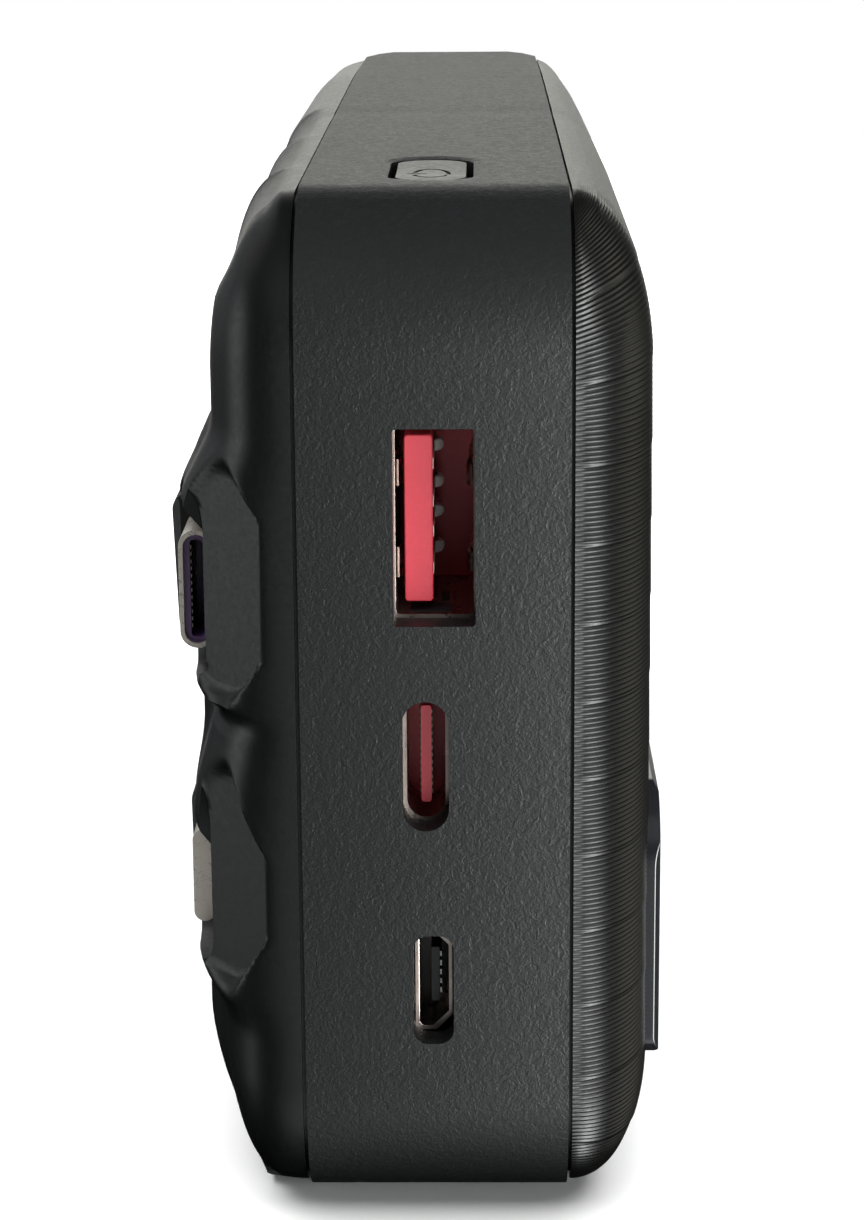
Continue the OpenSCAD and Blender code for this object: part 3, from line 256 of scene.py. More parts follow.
def settle(points):
    """The top face falls away a little at the far end, beside the middle, and dips behind the button."""
    x, d, z = np.abs(points[:, 0]), points[:, 1] - NEAR, points[:, 2]
    fall = 1.0 * step(6, 11.5, x) * step(100, 144, d)
    dip = 0.08 * np.exp(-((d - 64) / 3) ** 2) * (1 - step(9, 13, x))
    points[:, 2] = z - (fall + dip) * step(50, 68, z)
    return points


def even_normals(mesh, limit=32.0):
    """Corner normals weighted by area, so that large flat faces stay flat beside rounded edges."""
    count, corner_count = len(mesh.polygons), len(mesh.loops)
    normal, size = np.empty(count * 3), np.empty(count)
    totals, vertex = np.empty(count, int), np.empty(corner_count, int)
    mesh.polygons.foreach_get("normal", normal)
    mesh.polygons.foreach_get("area", size)
    mesh.polygons.foreach_get("loop_total", totals)
    mesh.loops.foreach_get("vertex_index", vertex)
    normal = normal.reshape(-1, 3)
    face = np.repeat(np.arange(count), totals)
    order = np.argsort(vertex, kind="stable")
    result = np.zeros((corner_count, 3))
    for group in np.split(order, np.flatnonzero(np.diff(vertex[order])) + 1):
        n = normal[face[group]]
        near = (n @ n.T > math.cos(math.radians(limit))) * size[face[group]][None, :]
        result[group] = near @ n
    result /= np.maximum(np.linalg.norm(result, axis=1, keepdims=True), 1e-12)
    mesh.normals_split_custom_set([tuple(v) for v in result])


def mesh_from(name, points, faces, weld=0.002):
    """A mesh from points in millimetres, with doubles merged and normals turned outwards."""
    mesh = bpy.data.meshes.new(name)
    mesh.from_pydata([tuple(p) for p in np.asarray(points) * MM], [], [tuple(map(int, f)) for f in faces])
    work = bmesh.new()
    work.from_mesh(mesh)
    bmesh.ops.remove_doubles(work, verts=work.verts, dist=weld * MM)
    bmesh.ops.dissolve_degenerate(work, edges=work.edges, dist=weld * 0.5 * MM)
    bmesh.ops.recalc_face_normals(work, faces=work.faces)
    work.to_mesh(mesh)
    work.free()
    return mesh


def cross_cuts(work):
    """Cuts across the frame's large faces, which let them curve."""
    cuts = [((x * MM, 0, 0), (1, 0, 0)) for x in np.arange(-9, 9.1, 1.5)]
    cuts += [((0, (NEAR + d) * MM, 0), (0, 1, 0)) for d in (*range(56, 74, 2), *range(98, 142, 6))]
    for place, way in cuts:
        bmesh.ops.bisect_plane(work, geom=work.verts[:] + work.edges[:] + work.faces[:], dist=1e-6,
                               plane_co=place, plane_no=way)


def curve_frame(mesh, crown):
    """Draws the near face back by crown at 10 mm from its middle, and settles the top face."""
    points = np.array([v.co for v in mesh.vertices]) / MM
    near = 1 - np.clip((points[:, 1] - NEAR) / 2.3, 0, 1)
    points[:, 1] += crown * (points[:, 0] / 10) ** 2 * near
    mesh.vertices.foreach_set("co", (settle(points) * MM).ravel())


def lean_in(mesh, node, top, foot):
    """Keeps the inner face and moves the outer one in, to a share top above and foot below."""
    low, high = (c * MM for c in corners(node))
    for v in mesh.vertices:
        height = (v.co.z - low[2]) / (high[2] - low[2])
        v.co.x = high[0] + (v.co.x - high[0]) * (foot + (top - foot) * height)


def bevelled(name, node, slot, body, width, segments, lean=None, crown=0.0):
    """A copy of a CAD node's form with its sharp edges rounded, which stands for the node."""
    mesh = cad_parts[node].data.copy()
    work = bmesh.new()
    work.from_mesh(mesh)
    bmesh.ops.remove_doubles(work, verts=work.verts, dist=1e-6)
    volume = work.calc_volume()
    bmesh.ops.dissolve_limit(work, angle_limit=math.radians(1.0), verts=work.verts, edges=work.edges)
    edges = [e for e in work.edges if len(e.link_faces) == 2 and e.calc_face_angle(0) > math.radians(35)]
    bmesh.ops.bevel(work, geom=edges, offset=width * MM, segments=segments, profile=0.5,
                    affect="EDGES", clamp_overlap=True)
    bmesh.ops.remove_doubles(work, verts=work.verts, dist=1e-6)
    bmesh.ops.recalc_face_normals(work, faces=work.faces)
    if crown:
        cross_cuts(work)
    # a bevel that upsets the form changes its volume, and the plain form is kept then
    if abs(work.calc_volume() / volume - 1) < 0.05:
        work.to_mesh(mesh)
    work.free()
    if crown:
        curve_frame(mesh, crown)
    if lean:
        lean_in(mesh, node, *lean)
    finish_mesh(name, mesh, slot, body, [node])
    even_normals(mesh)


# ---- Covers ---------------------------------------------------------------------------
def smooth_min(a, b, r):
    """The lower of two heights, with a fillet of about r where they cross."""
    h = np.clip(0.5 + 0.5 * (b - a) / r, 0, 1)
    return b * (1 - h) + a * h - r * h * (1 - h)


def smooth_max(a, b, r):
    return -smooth_min(-a, -b, r)


def step(low, high, v):
    t = np.clip((v - low) / (high - low), 0, 1)
    return t * t * (3 - 2 * t)


class Shell:
    """A cover as a grid of rows that run from the port end to the far end.

    Each row starts on the parting line at height z0, climbs the near edge along a ray of the given
    slope seen from the port end, runs parallel to Y, and comes down the far edge. The edges are
    parts of superellipses with the exponents p and q, which draw the outline in by near_r, top_r and
    low_r. The face tapers towards the far end, and wall is how far out the hollow inside reaches.
    """

    def __init__(self, sign, depth, near_r, top_r, low_r, p, q, taper, wall):
        self.sign, self.depth, self.taper, self.wall = sign, depth - SEAM, taper, wall
        self.near_r, self.top_r, self.low_r, self.p, self.q = near_r, top_r, low_r, p, q
        self.base = HALF + SEAM
        self.y_near, self.y_far = NEAR + INSET, FAR - INSET
        self.z_low, self.z_high = INSET, HEIGHT - INSET

    def ring(self, t):
        """Share of the edge that is left at a distance t from the parting face."""
        s = np.clip(t / self.depth, 0, 1) ** self.q
        return np.clip(1 - s, 0, 1) ** (1 / self.p)

    def top(self, t):
        return self.z_high - self.top_r * (1 - self.ring(t))

    def low(self, t):
        return self.z_low + self.low_r * (1 - self.ring(t))

    def inset_y(self, t, z):
        """How far inside the outline the near or far edge lies at t and z."""
        c = self.ring(t)
        a = CORNER * c
        high, low = self.top(t) - a, self.low(t) + a
        over = np.maximum(np.maximum(z - high, low - z), 0)
        over = np.minimum(over, a)
        return self.near_r * (1 - c) + a - np.sqrt(np.maximum(a * a - over * over, 0))

    def reach(self, z0, slope):
        """Distance t at which the ray from z0 leaves the outline seen from the port end."""
        lo, hi = np.zeros_like(z0), np.full_like(z0, self.depth)
        for _ in range(44):
            mid = (lo + hi) / 2
            z = z0 + slope * mid
            inside = (z <= self.top(mid)) & (z >= self.low(mid))
            lo, hi = np.where(inside, mid, lo), np.where(inside, hi, mid)
        return lo

    def grid(self, z0, slope, taus, stations):
        """Points (rows, columns, 3) before any relief: |x|, y, z."""
        z0, slope = np.asarray(z0, float), np.asarray(slope, float)
        t_max = self.reach(z0, slope)
        t = t_max[:, None] * np.sin(np.asarray(taus)[None, :] * math.pi / 2)
        z = z0[:, None] + slope[:, None] * t
        inset = self.inset_y(t, z)
        near = np.stack([self.base + t, self.y_near + inset, z], -1)
        far = np.stack([self.base + t, self.y_far - inset, z], -1)[:, ::-1]
        ys = np.asarray(stations, float)
        x_end, z_end = self.base + t_max, z0 + slope * t_max
        mid = np.stack(np.broadcast_arrays(x_end[:, None], ys[None, :], z_end[:, None]), -1)
        points = np.concatenate([near, mid, far], 1)
        d = points[..., 1] - NEAR
        share = 1 - self.taper * np.clip((d - 55) / (FAR - NEAR - 65), 0, 1) / (self.depth + SEAM)
        x = points[..., 0]
        points[..., 0] = HALF + (x - HALF) * np.where(x > self.base + 1e-9, share, 1)
        return points


def grid_normals(points):
    """Unit normals of a grid, pointing away from the parting face."""
    down = np.gradient(points, axis=0)
    along = np.gradient(points, axis=1)
    n = np.cross(along, down)
    size = np.linalg.norm(n, axis=-1, keepdims=True)
    n = np.where(size > 1e-9, n / np.maximum(size, 1e-9), np.array([0.0, 0.0, 1.0]))
    flip = np.sign(np.sum(n * (points - np.array([HALF - 20, 0.0, HEIGHT / 2])) * np.array([1, 0.3, 1]), -1))
    return n * np.where(flip == 0, 1, flip)[..., None]


def close_shell(name, shell, points, slot, node):
    """Turns a grid into a closed shell with its seam, its locating rebate and its hollow inside."""
    rows, columns = points.shape[:2]
    flat = settle(points.reshape(-1, 3).copy())
    flat[:, 0] *= shell.sign
    index = np.arange(rows * columns).reshape(rows, columns)
    quads = np.stack([index[:-1, :-1], index[:-1, 1:], index[1:, 1:], index[1:, :-1]], -1).reshape(-1, 4)
    rim = np.concatenate([index[0, :], index[1:, -1], index[-1, -2::-1], index[-2:0:-1, 0]])
    keep = [0]
    for i in range(1, len(rim)):
        if np.linalg.norm(flat[rim[i]] - flat[rim[keep[-1]]]) > 0.004:
            keep.append(i)
    rim = rim[keep]
    outline = flat[rim]
    # directions outwards, square to the outline
    centre_y = np.clip(outline[:, 1], NEAR + 10, FAR - 10)
    centre_z = np.clip(outline[:, 2], 10, HEIGHT - 10)
    out = np.stack([outline[:, 1] - centre_y, outline[:, 2] - centre_z], -1)
    out /= np.maximum(np.linalg.norm(out, axis=1, keepdims=True), 1e-9)
    land, rebate, wall, rebate_x = INSET + 0.5, 1.4, 3.8, HALF + 1.3
    all_points, faces = [flat], [tuple(q) for q in quads]
    last, count = rim, len(flat)
    for inset, x in ((land, HALF + SEAM), (land, HALF), (rebate, HALF), (rebate, rebate_x),
                     (wall, rebate_x), (wall, shell.wall)):
        ring = np.empty((len(rim), 3))
        ring[:, 0] = shell.sign * x
        ring[:, 1:] = outline[:, 1:] - out * (inset - INSET)
        all_points.append(ring)
        new = np.arange(count, count + len(rim))
        count += len(rim)
        for i in range(len(rim)):
            j = (i + 1) % len(rim)
            faces.append((last[i], last[j], new[j], new[i]))
        last = new
    faces.append(tuple(last))
    mesh = mesh_from(name, np.concatenate(all_points), faces)
    finish_mesh(name, mesh, slot, "housing", [node], 40.0)


# ---- Front cover: fine ribs in convex bands that fan over the top corner -----------------
FRONT = Shell(1, 5.72, near_r=10.2, top_r=11.7, low_r=10.1, p=2.04, q=2.1, taper=1.08, wall=11.7)
BAND, BAND_TOP, RIBS_PER_BAND = 5.26, 63.6, 16
RIB = BAND / RIBS_PER_BAND
RIB_DEPTH, BAND_DEPTH = 0.08, 0.13
ARC_LOW, ARC_TOP = INSET + CORNER, HEIGHT - INSET - CORNER
# a place u along the near outline is its height between the arcs, and is measured on along them
U_LOW = ARC_LOW - CORNER * math.pi / 2
U_TOP = ARC_TOP + CORNER * math.pi / 2
# depths of the columns between the curved ends, closer together where the ribs fade out
FRONT_STATIONS = [10.9, 11.6, 13, 15, 18, 22, 27, 33, 38, 40.5, 45, 50, 55, 60, 64, 66, 68, 70, 74, 82, 95,
                  110, 125, 131.5, 133.5]


def outline_height(u):
    """Height of a place u on the near outline."""
    top = ARC_TOP + CORNER * np.sin(np.clip((u - ARC_TOP) / CORNER, 0, math.pi / 2))
    low = ARC_LOW - CORNER * np.sin(np.clip((ARC_LOW - u) / CORNER, 0, math.pi / 2))
    return np.where(u > ARC_TOP, top, np.where(u < ARC_LOW, low, u))


def fanned_rows():
    """Where the front cover's rows start, and their slopes, which grow over both corners."""
    samples = 5
    u = np.arange(BAND_TOP - 13 * BAND, BAND_TOP + 2 * BAND + 1e-6, RIB / samples)
    u = u[(u > U_LOW + 0.2) & (u < U_TOP - 0.2)]
    u = np.concatenate([[U_LOW, U_LOW + 0.1], u, [U_TOP - 0.1, U_TOP]])
    fan_top = np.clip((u - 55) / (U_TOP - 55), 0, 1)
    fan_low = np.clip((11 - u) / (11 - U_LOW), 0, 1)
    return u, np.tan(np.radians(65 * fan_top ** 1.25)) - np.tan(np.radians(24 * fan_low ** 1.3))


def rib_relief(t, d, u):
    """Height of the ribs and of the shingled bands, at t from the seam; both lie below the face."""
    phase = (BAND_TOP - u) / BAND
    share = phase - np.floor(phase)
    present = step(U_LOW + 6.5, U_LOW + 10.5, u) * (1 - step(U_TOP - 5.0, U_TOP - 1.5, u))
    along = 1 - step(64, 69, d)
    over_top = 1 - step(62, 66, u) * step(9.5, 14, d) * 0.85
    ribs = 0.5 - 0.5 * np.cos(2 * np.pi * phase * RIBS_PER_BAND)
    band = np.where(share < 0.05, 1 - share / 0.05, (share - 0.05) / 0.95)
    reach = np.clip(t / FRONT.depth, 0, 1)
    band_depth = BAND_DEPTH * step(0.0, 0.35, reach) * (1 - 0.6 * step(0.55, 0.95, reach))
    relief = present * along * over_top * step(0.0, 0.05, t)
    return relief * (RIB_DEPTH * (ribs - 1) + band_depth * (band - 1))


def front_shell():
    """The front cover, with two columns close by the end of its window."""
    row_u, slope = fanned_rows()
    window_end = corners("display_window")[1][1] - NEAR
    stations = sorted(FRONT_STATIONS + [window_end - 0.12, window_end + 0.12])
    points = FRONT.grid(outline_height(row_u), slope, np.linspace(0, 1, 25), np.array(stations) + NEAR)
    u = np.broadcast_to(row_u[:, None], points.shape[:2])
    height = rib_relief(points[..., 0] - HALF - SEAM, points[..., 1] - NEAR, u)
    points = points + grid_normals(points) * height[..., None]
    close_shell("front_shell", FRONT, points, "front_plastic", "front_cover")


front_shell()

# ---- Back cover: bay for both leads, plug pods with sharp lips, pockets, grip scallops ----
BACK = Shell(-1, 6.04, near_r=8.92, top_r=11.86, low_r=13.84, p=1.92, q=2.99, taper=0.31, wall=12.1)
FULL = HALF + BACK.depth + SEAM
BAY_OUT = -float(corners("type_c_lead")[0][0])
LIP = 4.8                                   # depth of the pods' lips before they curve
LIP_COLUMNS = (LIP, LIP + 0.14, LIP + 0.17)
LIP_END = 0.155                             # between the last two of these columns
FACET_WIDEST = 2.85                         # depth at which the pods' facets are widest
PLUG_GAP, SEAT_GAP = 0.57, 0.3
ANCHOR_HALF, ANCHOR_FLOOR = 3.7, 14.05
LIP_FROM, LIP_TO = 1.8, 9.2                 # depths between which the columns follow the lips' curve
GRIP_FROM, GRIP_TO = 0.8, 71.3              # the three grip scallops along the upper edge
GRIP_LENGTH, GRIP_DEPTH = 23.5, 0.75


class Pod:
    """One plug's pod and the pocket of its lead.

    crest, top and foot are lines over z: height over the middle plane, slope, and z there. An edge of
    the facet is a z and how fast the facet narrows before and after its widest place. An end of the lip
    curves away from the port end by a length, from a z over a span; lip_top also has the most spans.
    """

    def __init__(self, lead, plug, boot, anchor, **shape):
        (lead_low, lead_high), (plug_low, plug_high) = corners(lead), corners(plug)
        (boot_low, boot_high), (anchor_low, anchor_high) = corners(boot), corners(anchor)
        self.centre = float(lead_low[2] + lead_high[2]) / 2
        self.plug_half = (plug_high[2] - plug_low[2]) / 2 + PLUG_GAP
        self.boot_half = (boot_high[2] - boot_low[2]) / 2 + SEAT_GAP
        self.lead_half = (lead_high[2] - lead_low[2]) / 2 + SEAT_GAP
        self.boot_start, self.boot_end = boot_low[1] - NEAR - SEAT_GAP, boot_high[1] - NEAR + SEAT_GAP
        self.anchor_start, self.anchor_end = anchor_low[1] - NEAR, anchor_high[1] - NEAR
        self.plug_floor = -plug_high[0] - SEAT_GAP
        self.boot_floor = -boot_high[0] - SEAT_GAP
        self.lead_floor = -lead_high[0] - SEAT_GAP
        vars(self).update(shape)

    def height(self, z):
        """Height of the pod's crest line over the middle plane."""
        crest, top, foot = (out + slope * (z - at) for out, slope, at in (self.crest, self.top, self.foot))
        return smooth_min(smooth_min(crest, top, 0.9), foot, self.foot_fillet)


TYPE_C_POD = Pod("type_c_lead", "type_c_plug_shell", "type_c_plug_boot", "type_c_anchor", flare=0.9,
                 crest=(16.4, 0.11, 37.8), top=(17.75, -0.5, 48.5), foot=(16.3, 1.7, 36.6), foot_fillet=0.4,
                 facet_top=(52.3, 0.5, 0.35), facet_low=(37.4, 0.45, 0.15),
                 lip_top=(0.7, 47.7, 2.8, 1.3), lip_low=(0.4, 38.7, 1.2))
SLIM_POD = Pod("slim_lead", "slim_plug_tip", "slim_plug_boot", "slim_anchor", flare=0.8,
               crest=(16.6, 0.035, 18.0), top=(17.05, -0.27, 27.6), foot=(16.5, 0.58, 17.0), foot_fillet=0.5,
               facet_top=(31.7, 0.9, 0.25), facet_low=(17.4, 0.6, 0.1),
               lip_top=(0.8, 27.2, 3.5, 1.0), lip_low=(0.3, 19.2, 1.6))


def lip_line(z):
    """Depth of the pods' sharp lips at height z."""
    rise = []
    for pod in (TYPE_C_POD, SLIM_POD):
        (top, top_z, top_span, top_most), (low, low_z, low_span) = pod.lip_top, pod.lip_low
        rise.append(top * np.clip((z - top_z) / top_span, 0, top_most) ** 2
                    + low * np.clip((low_z - z) / low_span, 0, 1))
    return LIP + np.where(z < 34, rise[1], rise[0]) * step(14.5, 16.5, z) * (1 - step(52.5, 54.5, z))


def pillow(d):
    """Distance from the middle plane of the plain cover at d, beside its straight edges."""
    c = 1 - np.clip((d - INSET) / BACK.near_r, 0, 1)
    return BACK.base + BACK.depth * (1 - c ** BACK.p) ** (1 / BACK.q)


def pod_rise(z):
    """Height of the two plug pods over the plain cover."""
    both = np.where(z > 34.8, TYPE_C_POD.height(z), SLIM_POD.height(z))
    return smooth_max(both, np.full_like(both, FULL), 0.5) - FULL


def back_relief(x, d, z):
    """Distance from the middle plane of the back cover's outer face, given its plain pillow."""
    # the plateau of the bay, with a slope on each side
    bay = smooth_min(np.full_like(x, BAY_OUT), BAY_OUT + 0.50 * (d - 12.6), 0.9)
    bay = smooth_min(bay, BAY_OUT + 0.55 * (122.5 - d), 0.9)
    bay = smooth_min(bay, BAY_OUT + 0.45 * (z - 9.6), 1.0)
    bay = smooth_min(bay, BAY_OUT + 0.55 * (52.5 - z), 1.0)
    bay = smooth_min(bay, BAY_OUT + 1.6 * (d - 10.8), 0.5)
    # pods: the pillow grows deeper round each plug
    rise = (pod_rise(z) + 0.35 * step(9, 15, d) * step(0.2, 1.0, pod_rise(z))) * (1 - step(35, 43, d))
    w = smooth_max(HALF + (x - HALF) * (1 + rise / (FULL - HALF)), bay, 0.5)
    # ramps: a flat facet cut into the front of each pod, up to the lip
    lip = lip_line(z)
    ramp = 11.22 + 0.923 * (np.minimum(d, lip) - 0.38)
    before, after = np.maximum(FACET_WIDEST - d, 0) ** 2, np.maximum(d - FACET_WIDEST, 0) ** 2
    for pod in (TYPE_C_POD, SLIM_POD):
        top = pod.facet_top[0] - pod.facet_top[1] * before - pod.facet_top[2] * after
        low = pod.facet_low[0] + pod.facet_low[1] * before + pod.facet_low[2] * after
        facet = ramp + 1.15 * np.maximum(z - top, 0) + 1.15 * np.maximum(low - z, 0)
        cut = np.where(d < lip + 0.01, smooth_min(w, facet, 0.8), np.minimum(w, facet - 0.03))
        w = np.where(d < lip + LIP_END, cut, w)
    return w


def pocket_cut(w, d, z):
    """Lowers the outer face inside the pockets for the plugs, grips, leads and anchors."""
    for pod in (TYPE_C_POD, SLIM_POD):
        off = np.abs(z - pod.centre)
        over = np.maximum(z - pod.centre - pod.plug_half, 0)
        under = np.maximum(pod.centre - pod.plug_half - z, 0)
        hollow = (pod.plug_floor + pod.flare * over + 3.2 * under
                  + 0.55 * np.maximum(d - 11.5, 0) * (over + under > 0))
        at_plug = (z < pod.centre + pod.plug_half + 4.2) & (z > pod.centre - pod.plug_half - 0.9)
        at_plug &= (d > lip_line(z) + LIP_END) & (d < pod.boot_start)
        w = np.where(at_plug, smooth_min(w, hollow, 0.12), w)
        at_boot = (d > pod.boot_start) & (d < pod.boot_end) & (off < pod.boot_half)
        w = np.where(at_boot, np.minimum(w, pod.boot_floor), w)
        at_lead = (d > pod.boot_end - 0.01) & (d < pod.anchor_start) & (off < pod.lead_half)
        w = np.where(at_lead, np.minimum(w, pod.lead_floor), w)
        at_anchor = (d >= pod.anchor_start) & (d < pod.anchor_end) & (off < ANCHOR_HALF)
        w = np.where(at_anchor, np.minimum(w, ANCHOR_FLOOR), w)
    return w


def with_edges(values, edges, lowest=0.0):
    """The grid lines that stay clear of the edges, and a close pair of lines at each edge."""
    edges = np.array(sorted(set(np.round(edges, 4))))
    pairs = [v + s * 0.06 for v in edges for s in (-1, 1)]
    clear = [v for v in values if np.min(np.abs(edges - v)) > 0.13]
    return np.array(sorted(clear + [v for v in pairs if v > lowest]))


def back_rows():
    """Heights of the back cover's rows."""
    fine = 0.4
    edges = [pod.centre + s * half for pod in (TYPE_C_POD, SLIM_POD) for s in (-1, 1)
             for half in (pod.plug_half, pod.boot_half, pod.lead_half, ANCHOR_HALF)]
    low = INSET + 12.0 * (1 - np.cos(np.linspace(0, math.pi / 2, 26)))
    top = HEIGHT - INSET - 11.9 * (1 - np.cos(np.linspace(math.pi / 2, 0, 26)))
    return with_edges(np.concatenate([low, np.arange(12.5, 58, fine), top]), edges)


def back_columns():
    """Depths of the back cover's columns between its two curved ends."""
    fine = 0.4
    edges = [TYPE_C_POD.anchor_start, TYPE_C_POD.anchor_end]
    for pod in (TYPE_C_POD, SLIM_POD):
        edges += [pod.boot_start, pod.boot_end]
    columns = [np.arange(11, 38, fine), np.arange(38.5, 74, 1.0), np.arange(75, 108, 2.0),
               np.arange(108, 126, 0.6), np.arange(126, 134, 1.2)]
    return with_edges(np.concatenate(columns), edges, 10.7)


def end_taus():
    """Shares of the curved ends where their columns lie, with three columns at the lips."""
    left = [1 - (d - INSET) / BACK.near_r for d in LIP_COLUMNS]
    lips = [2 / math.pi * math.asin((1 - c ** BACK.p) ** (1 / BACK.q)) for c in left]
    plain = [v for v in np.linspace(0, 1, 44) if not lips[0] - 0.012 < v < lips[2] + 0.012]
    return np.array(sorted(plain + lips))


def back_shell():
    """The back cover: its grid, the bent lips, the scallops, and then the relief and the pockets."""
    z = back_rows()
    points = BACK.grid(z, np.zeros_like(z), end_taus(), back_columns() + NEAR)
    edge = points[..., 0] <= BACK.base + 1e-6
    # the columns beside the lips follow their curve
    d, z = points[..., 1] - NEAR, points[..., 2]
    pull = np.clip((d - LIP_FROM) / (LIP - LIP_FROM), 0, 1)
    pull = pull * np.clip((LIP_TO - d) / (LIP_TO - LIP - 0.17), 0, 1)
    moved = (pull > 0) & (np.abs(lip_line(z) - LIP) > 1e-9)
    d = d + pull * (lip_line(z) - LIP)
    points[..., 1] = d + NEAR
    points[..., 0] = np.where(moved, pillow(d), points[..., 0])
    # grip scallops along the upper edge, with sharp near ends
    turn = np.clip((points[..., 0] - HALF - SEAM) / BACK.depth, 0, 1)
    on_top = step(62.5, 66.0, z) * step(0.12, 0.4, turn) * (1 - step(0.9, 1.0, turn))
    cell = np.clip((d - GRIP_FROM) / GRIP_LENGTH, 0, 2.999)
    scoop = np.abs(np.sin(np.pi * (cell - np.floor(cell)) ** 0.6)) ** 0.6 * (d > GRIP_FROM) * (d < GRIP_TO)
    depth = GRIP_DEPTH * scoop * on_top * step(2, 9, d) * ~edge
    points = points - grid_normals(points) * depth[..., None]
    x, d, z = points[..., 0], points[..., 1] - NEAR, points[..., 2]
    points[..., 0] = np.where(edge, x, pocket_cut(back_relief(x, d, z), d, z))
    close_shell("back_shell", BACK, points, "back_plastic", "back_cover")


back_shell()

# ---- Pieces taken from the frame with rounded edges --------------------------------------
bevelled("middle_frame", "mid_frame", "frame_plastic", "housing", 0.13, 3, crown=0.4)
bevelled("window_pane", "display_window", "smoked_window", "housing", 0.12, 2)
bevelled("button_cap", "power_button", "button_plastic", "button", 0.1, 2)
bevelled("port_a_shell", "usb_a_shell", "port_steel", "housing", 0.06, 2)
bevelled("port_a_tongue", "usb_a_tongue", "port_red", "housing", 0.3, 1)
bevelled("port_c_tongue", "usb_c_tongue", "port_red", "housing", 0.08, 2)
bevelled("port_micro_shell", "micro_usb_shell", "port_steel", "housing", 0.05, 2)
bevelled("port_micro_tongue", "micro_usb_tongue", "port_black", "housing", 0.06, 2)
bevelled("plug_c_shell", "type_c_plug_shell", "plug_steel", "type_c_cable", 0.1, 3)
bevelled("plug_slim_tip", "slim_plug_tip", "plug_steel", "slim_cable", 0.2, 3)
bevelled("grip_c", "type_c_plug_boot", "lead_rubber", "type_c_cable", 0.25, 3, lean=(1.0, 0.92))
bevelled("grip_slim", "slim_plug_boot", "lead_rubber", "slim_cable", 0.25, 3, lean=(0.82, 0.78))
bevelled("anchor_c", "type_c_anchor", "lead_rubber", "housing", 0.2, 2)
bevelled("anchor_slim", "slim_anchor", "lead_rubber", "housing", 0.2, 2)


# ---- Small parts of the USB-A port -------------------------------------------------------
def ring_faces(rings, count):
    """Quads between rings of count points each, and a cap at both ends."""
    quads = []
    for start in range(0, (rings - 1) * count, count):
        for j in range(count):
            after = (j + 1) % count
            quads.append((start + j, start + after, start + count + after, start + count + j))
    return quads + [tuple(range(count)), tuple(range((rings - 1) * count, rings * count))]


def extruded(outline, z0, z1, edge):
    """A prism over an (x, y) outline with its ends drawn in a little."""
    outline = np.asarray(outline, float)
    middle = outline.mean(0)
    inner = middle + (outline - middle) * (1 - edge)
    rings = [(inner, z0), (outline, z0 + edge), (outline, z1 - edge), (inner, z1)]
    points = np.array([[x, y, z] for ring, z in rings for x, y in ring])
    return points, ring_faces(len(rings), len(outline))


def joined(name, parts, slot, nodes=()):
    """One piece on the housing made of several closed parts."""
    points, faces, start = [], [], 0
    for part_points, part_faces in parts:
        points.append(part_points)
        faces += [tuple(i + start for i in face) for face in part_faces]
        start += len(part_points)
    finish_mesh(name, mesh_from(name, np.concatenate(points), faces, 0.0005), slot, "housing", nodes, 45.0)


def bump_spring(x0, y0, y1, crest, tall, z, wide):
    """A contact spring: a flat strip that swells into a rounded bump, seen from its edge."""
    thin, sides = 0.06, 12
    ys = np.concatenate([[y0, y0 + 0.1], np.linspace(crest - 0.9, crest + 0.9, 13), [y1 - 0.1, y1]])
    swell = np.sqrt(np.clip(1 - ((ys - crest) / 0.8) ** 2, 0, 1))
    points = []
    for y, s in zip(ys, swell):
        for k in range(sides):
            c, q = math.cos(2 * math.pi * k / sides), math.sin(2 * math.pi * k / sides)
            out = 0.5 + 0.5 * np.sign(c) * abs(c) ** (0.5 + 0.5 * s)
            flat_z, round_z = wide / 2 * np.sign(q) * abs(q) ** 0.5, wide * 0.56 * q
            points.append([x0 + (thin + (tall - thin) * s) * out, y, z + flat_z * (1 - s) + round_z * s])
    return np.array(points), ring_faces(len(ys), sides)


CONTACTS_LOW, CONTACTS_HIGH = corners("usb_a_contacts")
PORT_LOW, PORT_HIGH = corners("usb_a_shell")
PORT_WALL = 0.3


def contact_springs():
    """The four springs over the tongue, of which the inner two stand closer together."""
    reach = (CONTACTS_HIGH[2] - CONTACTS_LOW[2] - 0.9) / 2
    middle = (CONTACTS_HIGH[2] + CONTACTS_LOW[2]) / 2
    end = CONTACTS_HIGH[1]
    return [bump_spring(CONTACTS_LOW[0] + 0.005, CONTACTS_LOW[1], end - 0.05, end - 2.2, 0.68,
                        middle + reach * share, 0.78) for share in (-1.0, -0.286, 0.286, 1.0)]


def leaf_springs():
    """Two bent leaves on each long wall, whose spans are heights over the middle of the port."""
    parts = []
    middle = (PORT_LOW[2] + PORT_HIGH[2]) / 2
    x = PORT_HIGH[0] - PORT_WALL + np.array([-0.02, -0.22, -0.46, -0.2])
    y = PORT_LOW[1] + np.array([6.6, 5.0, 3.4, 2.1])
    for wall, spans in ((-1, ((1.85, 3.7), (-4.3, -2.2))), (1, ((1.8, 3.3), (-3.9, -2.6)))):
        face = [(wall * a, b) for a, b in zip(x, y)]
        back_face = [(wall * (a + 0.12), b + 0.02) for a, b in zip(x[::-1], y[::-1])]
        for start, end in spans:
            parts.append(extruded(face + back_face, middle + start, middle + end, 0.04))
    return parts


def latch_window_shade():
    """Dark plates just over the shell's lower wall: painted shade standing for the shadow seen through its
    two latch windows.
    """
    parts = []
    floor_z, y = PORT_LOW[2] + PORT_WALL, PORT_LOW[1]
    for x0, x1, y0, y1 in ((-1.6, 1.07, 0.75, 3.0), (0.42, 0.93, 3.6, 6.3)):
        outline = [(x0, y + y0), (x1, y + y0), (x1, y + y1), (x0, y + y1)]
        parts.append(extruded(outline, floor_z - 0.005, floor_z + 0.025, 0.01))
    return parts


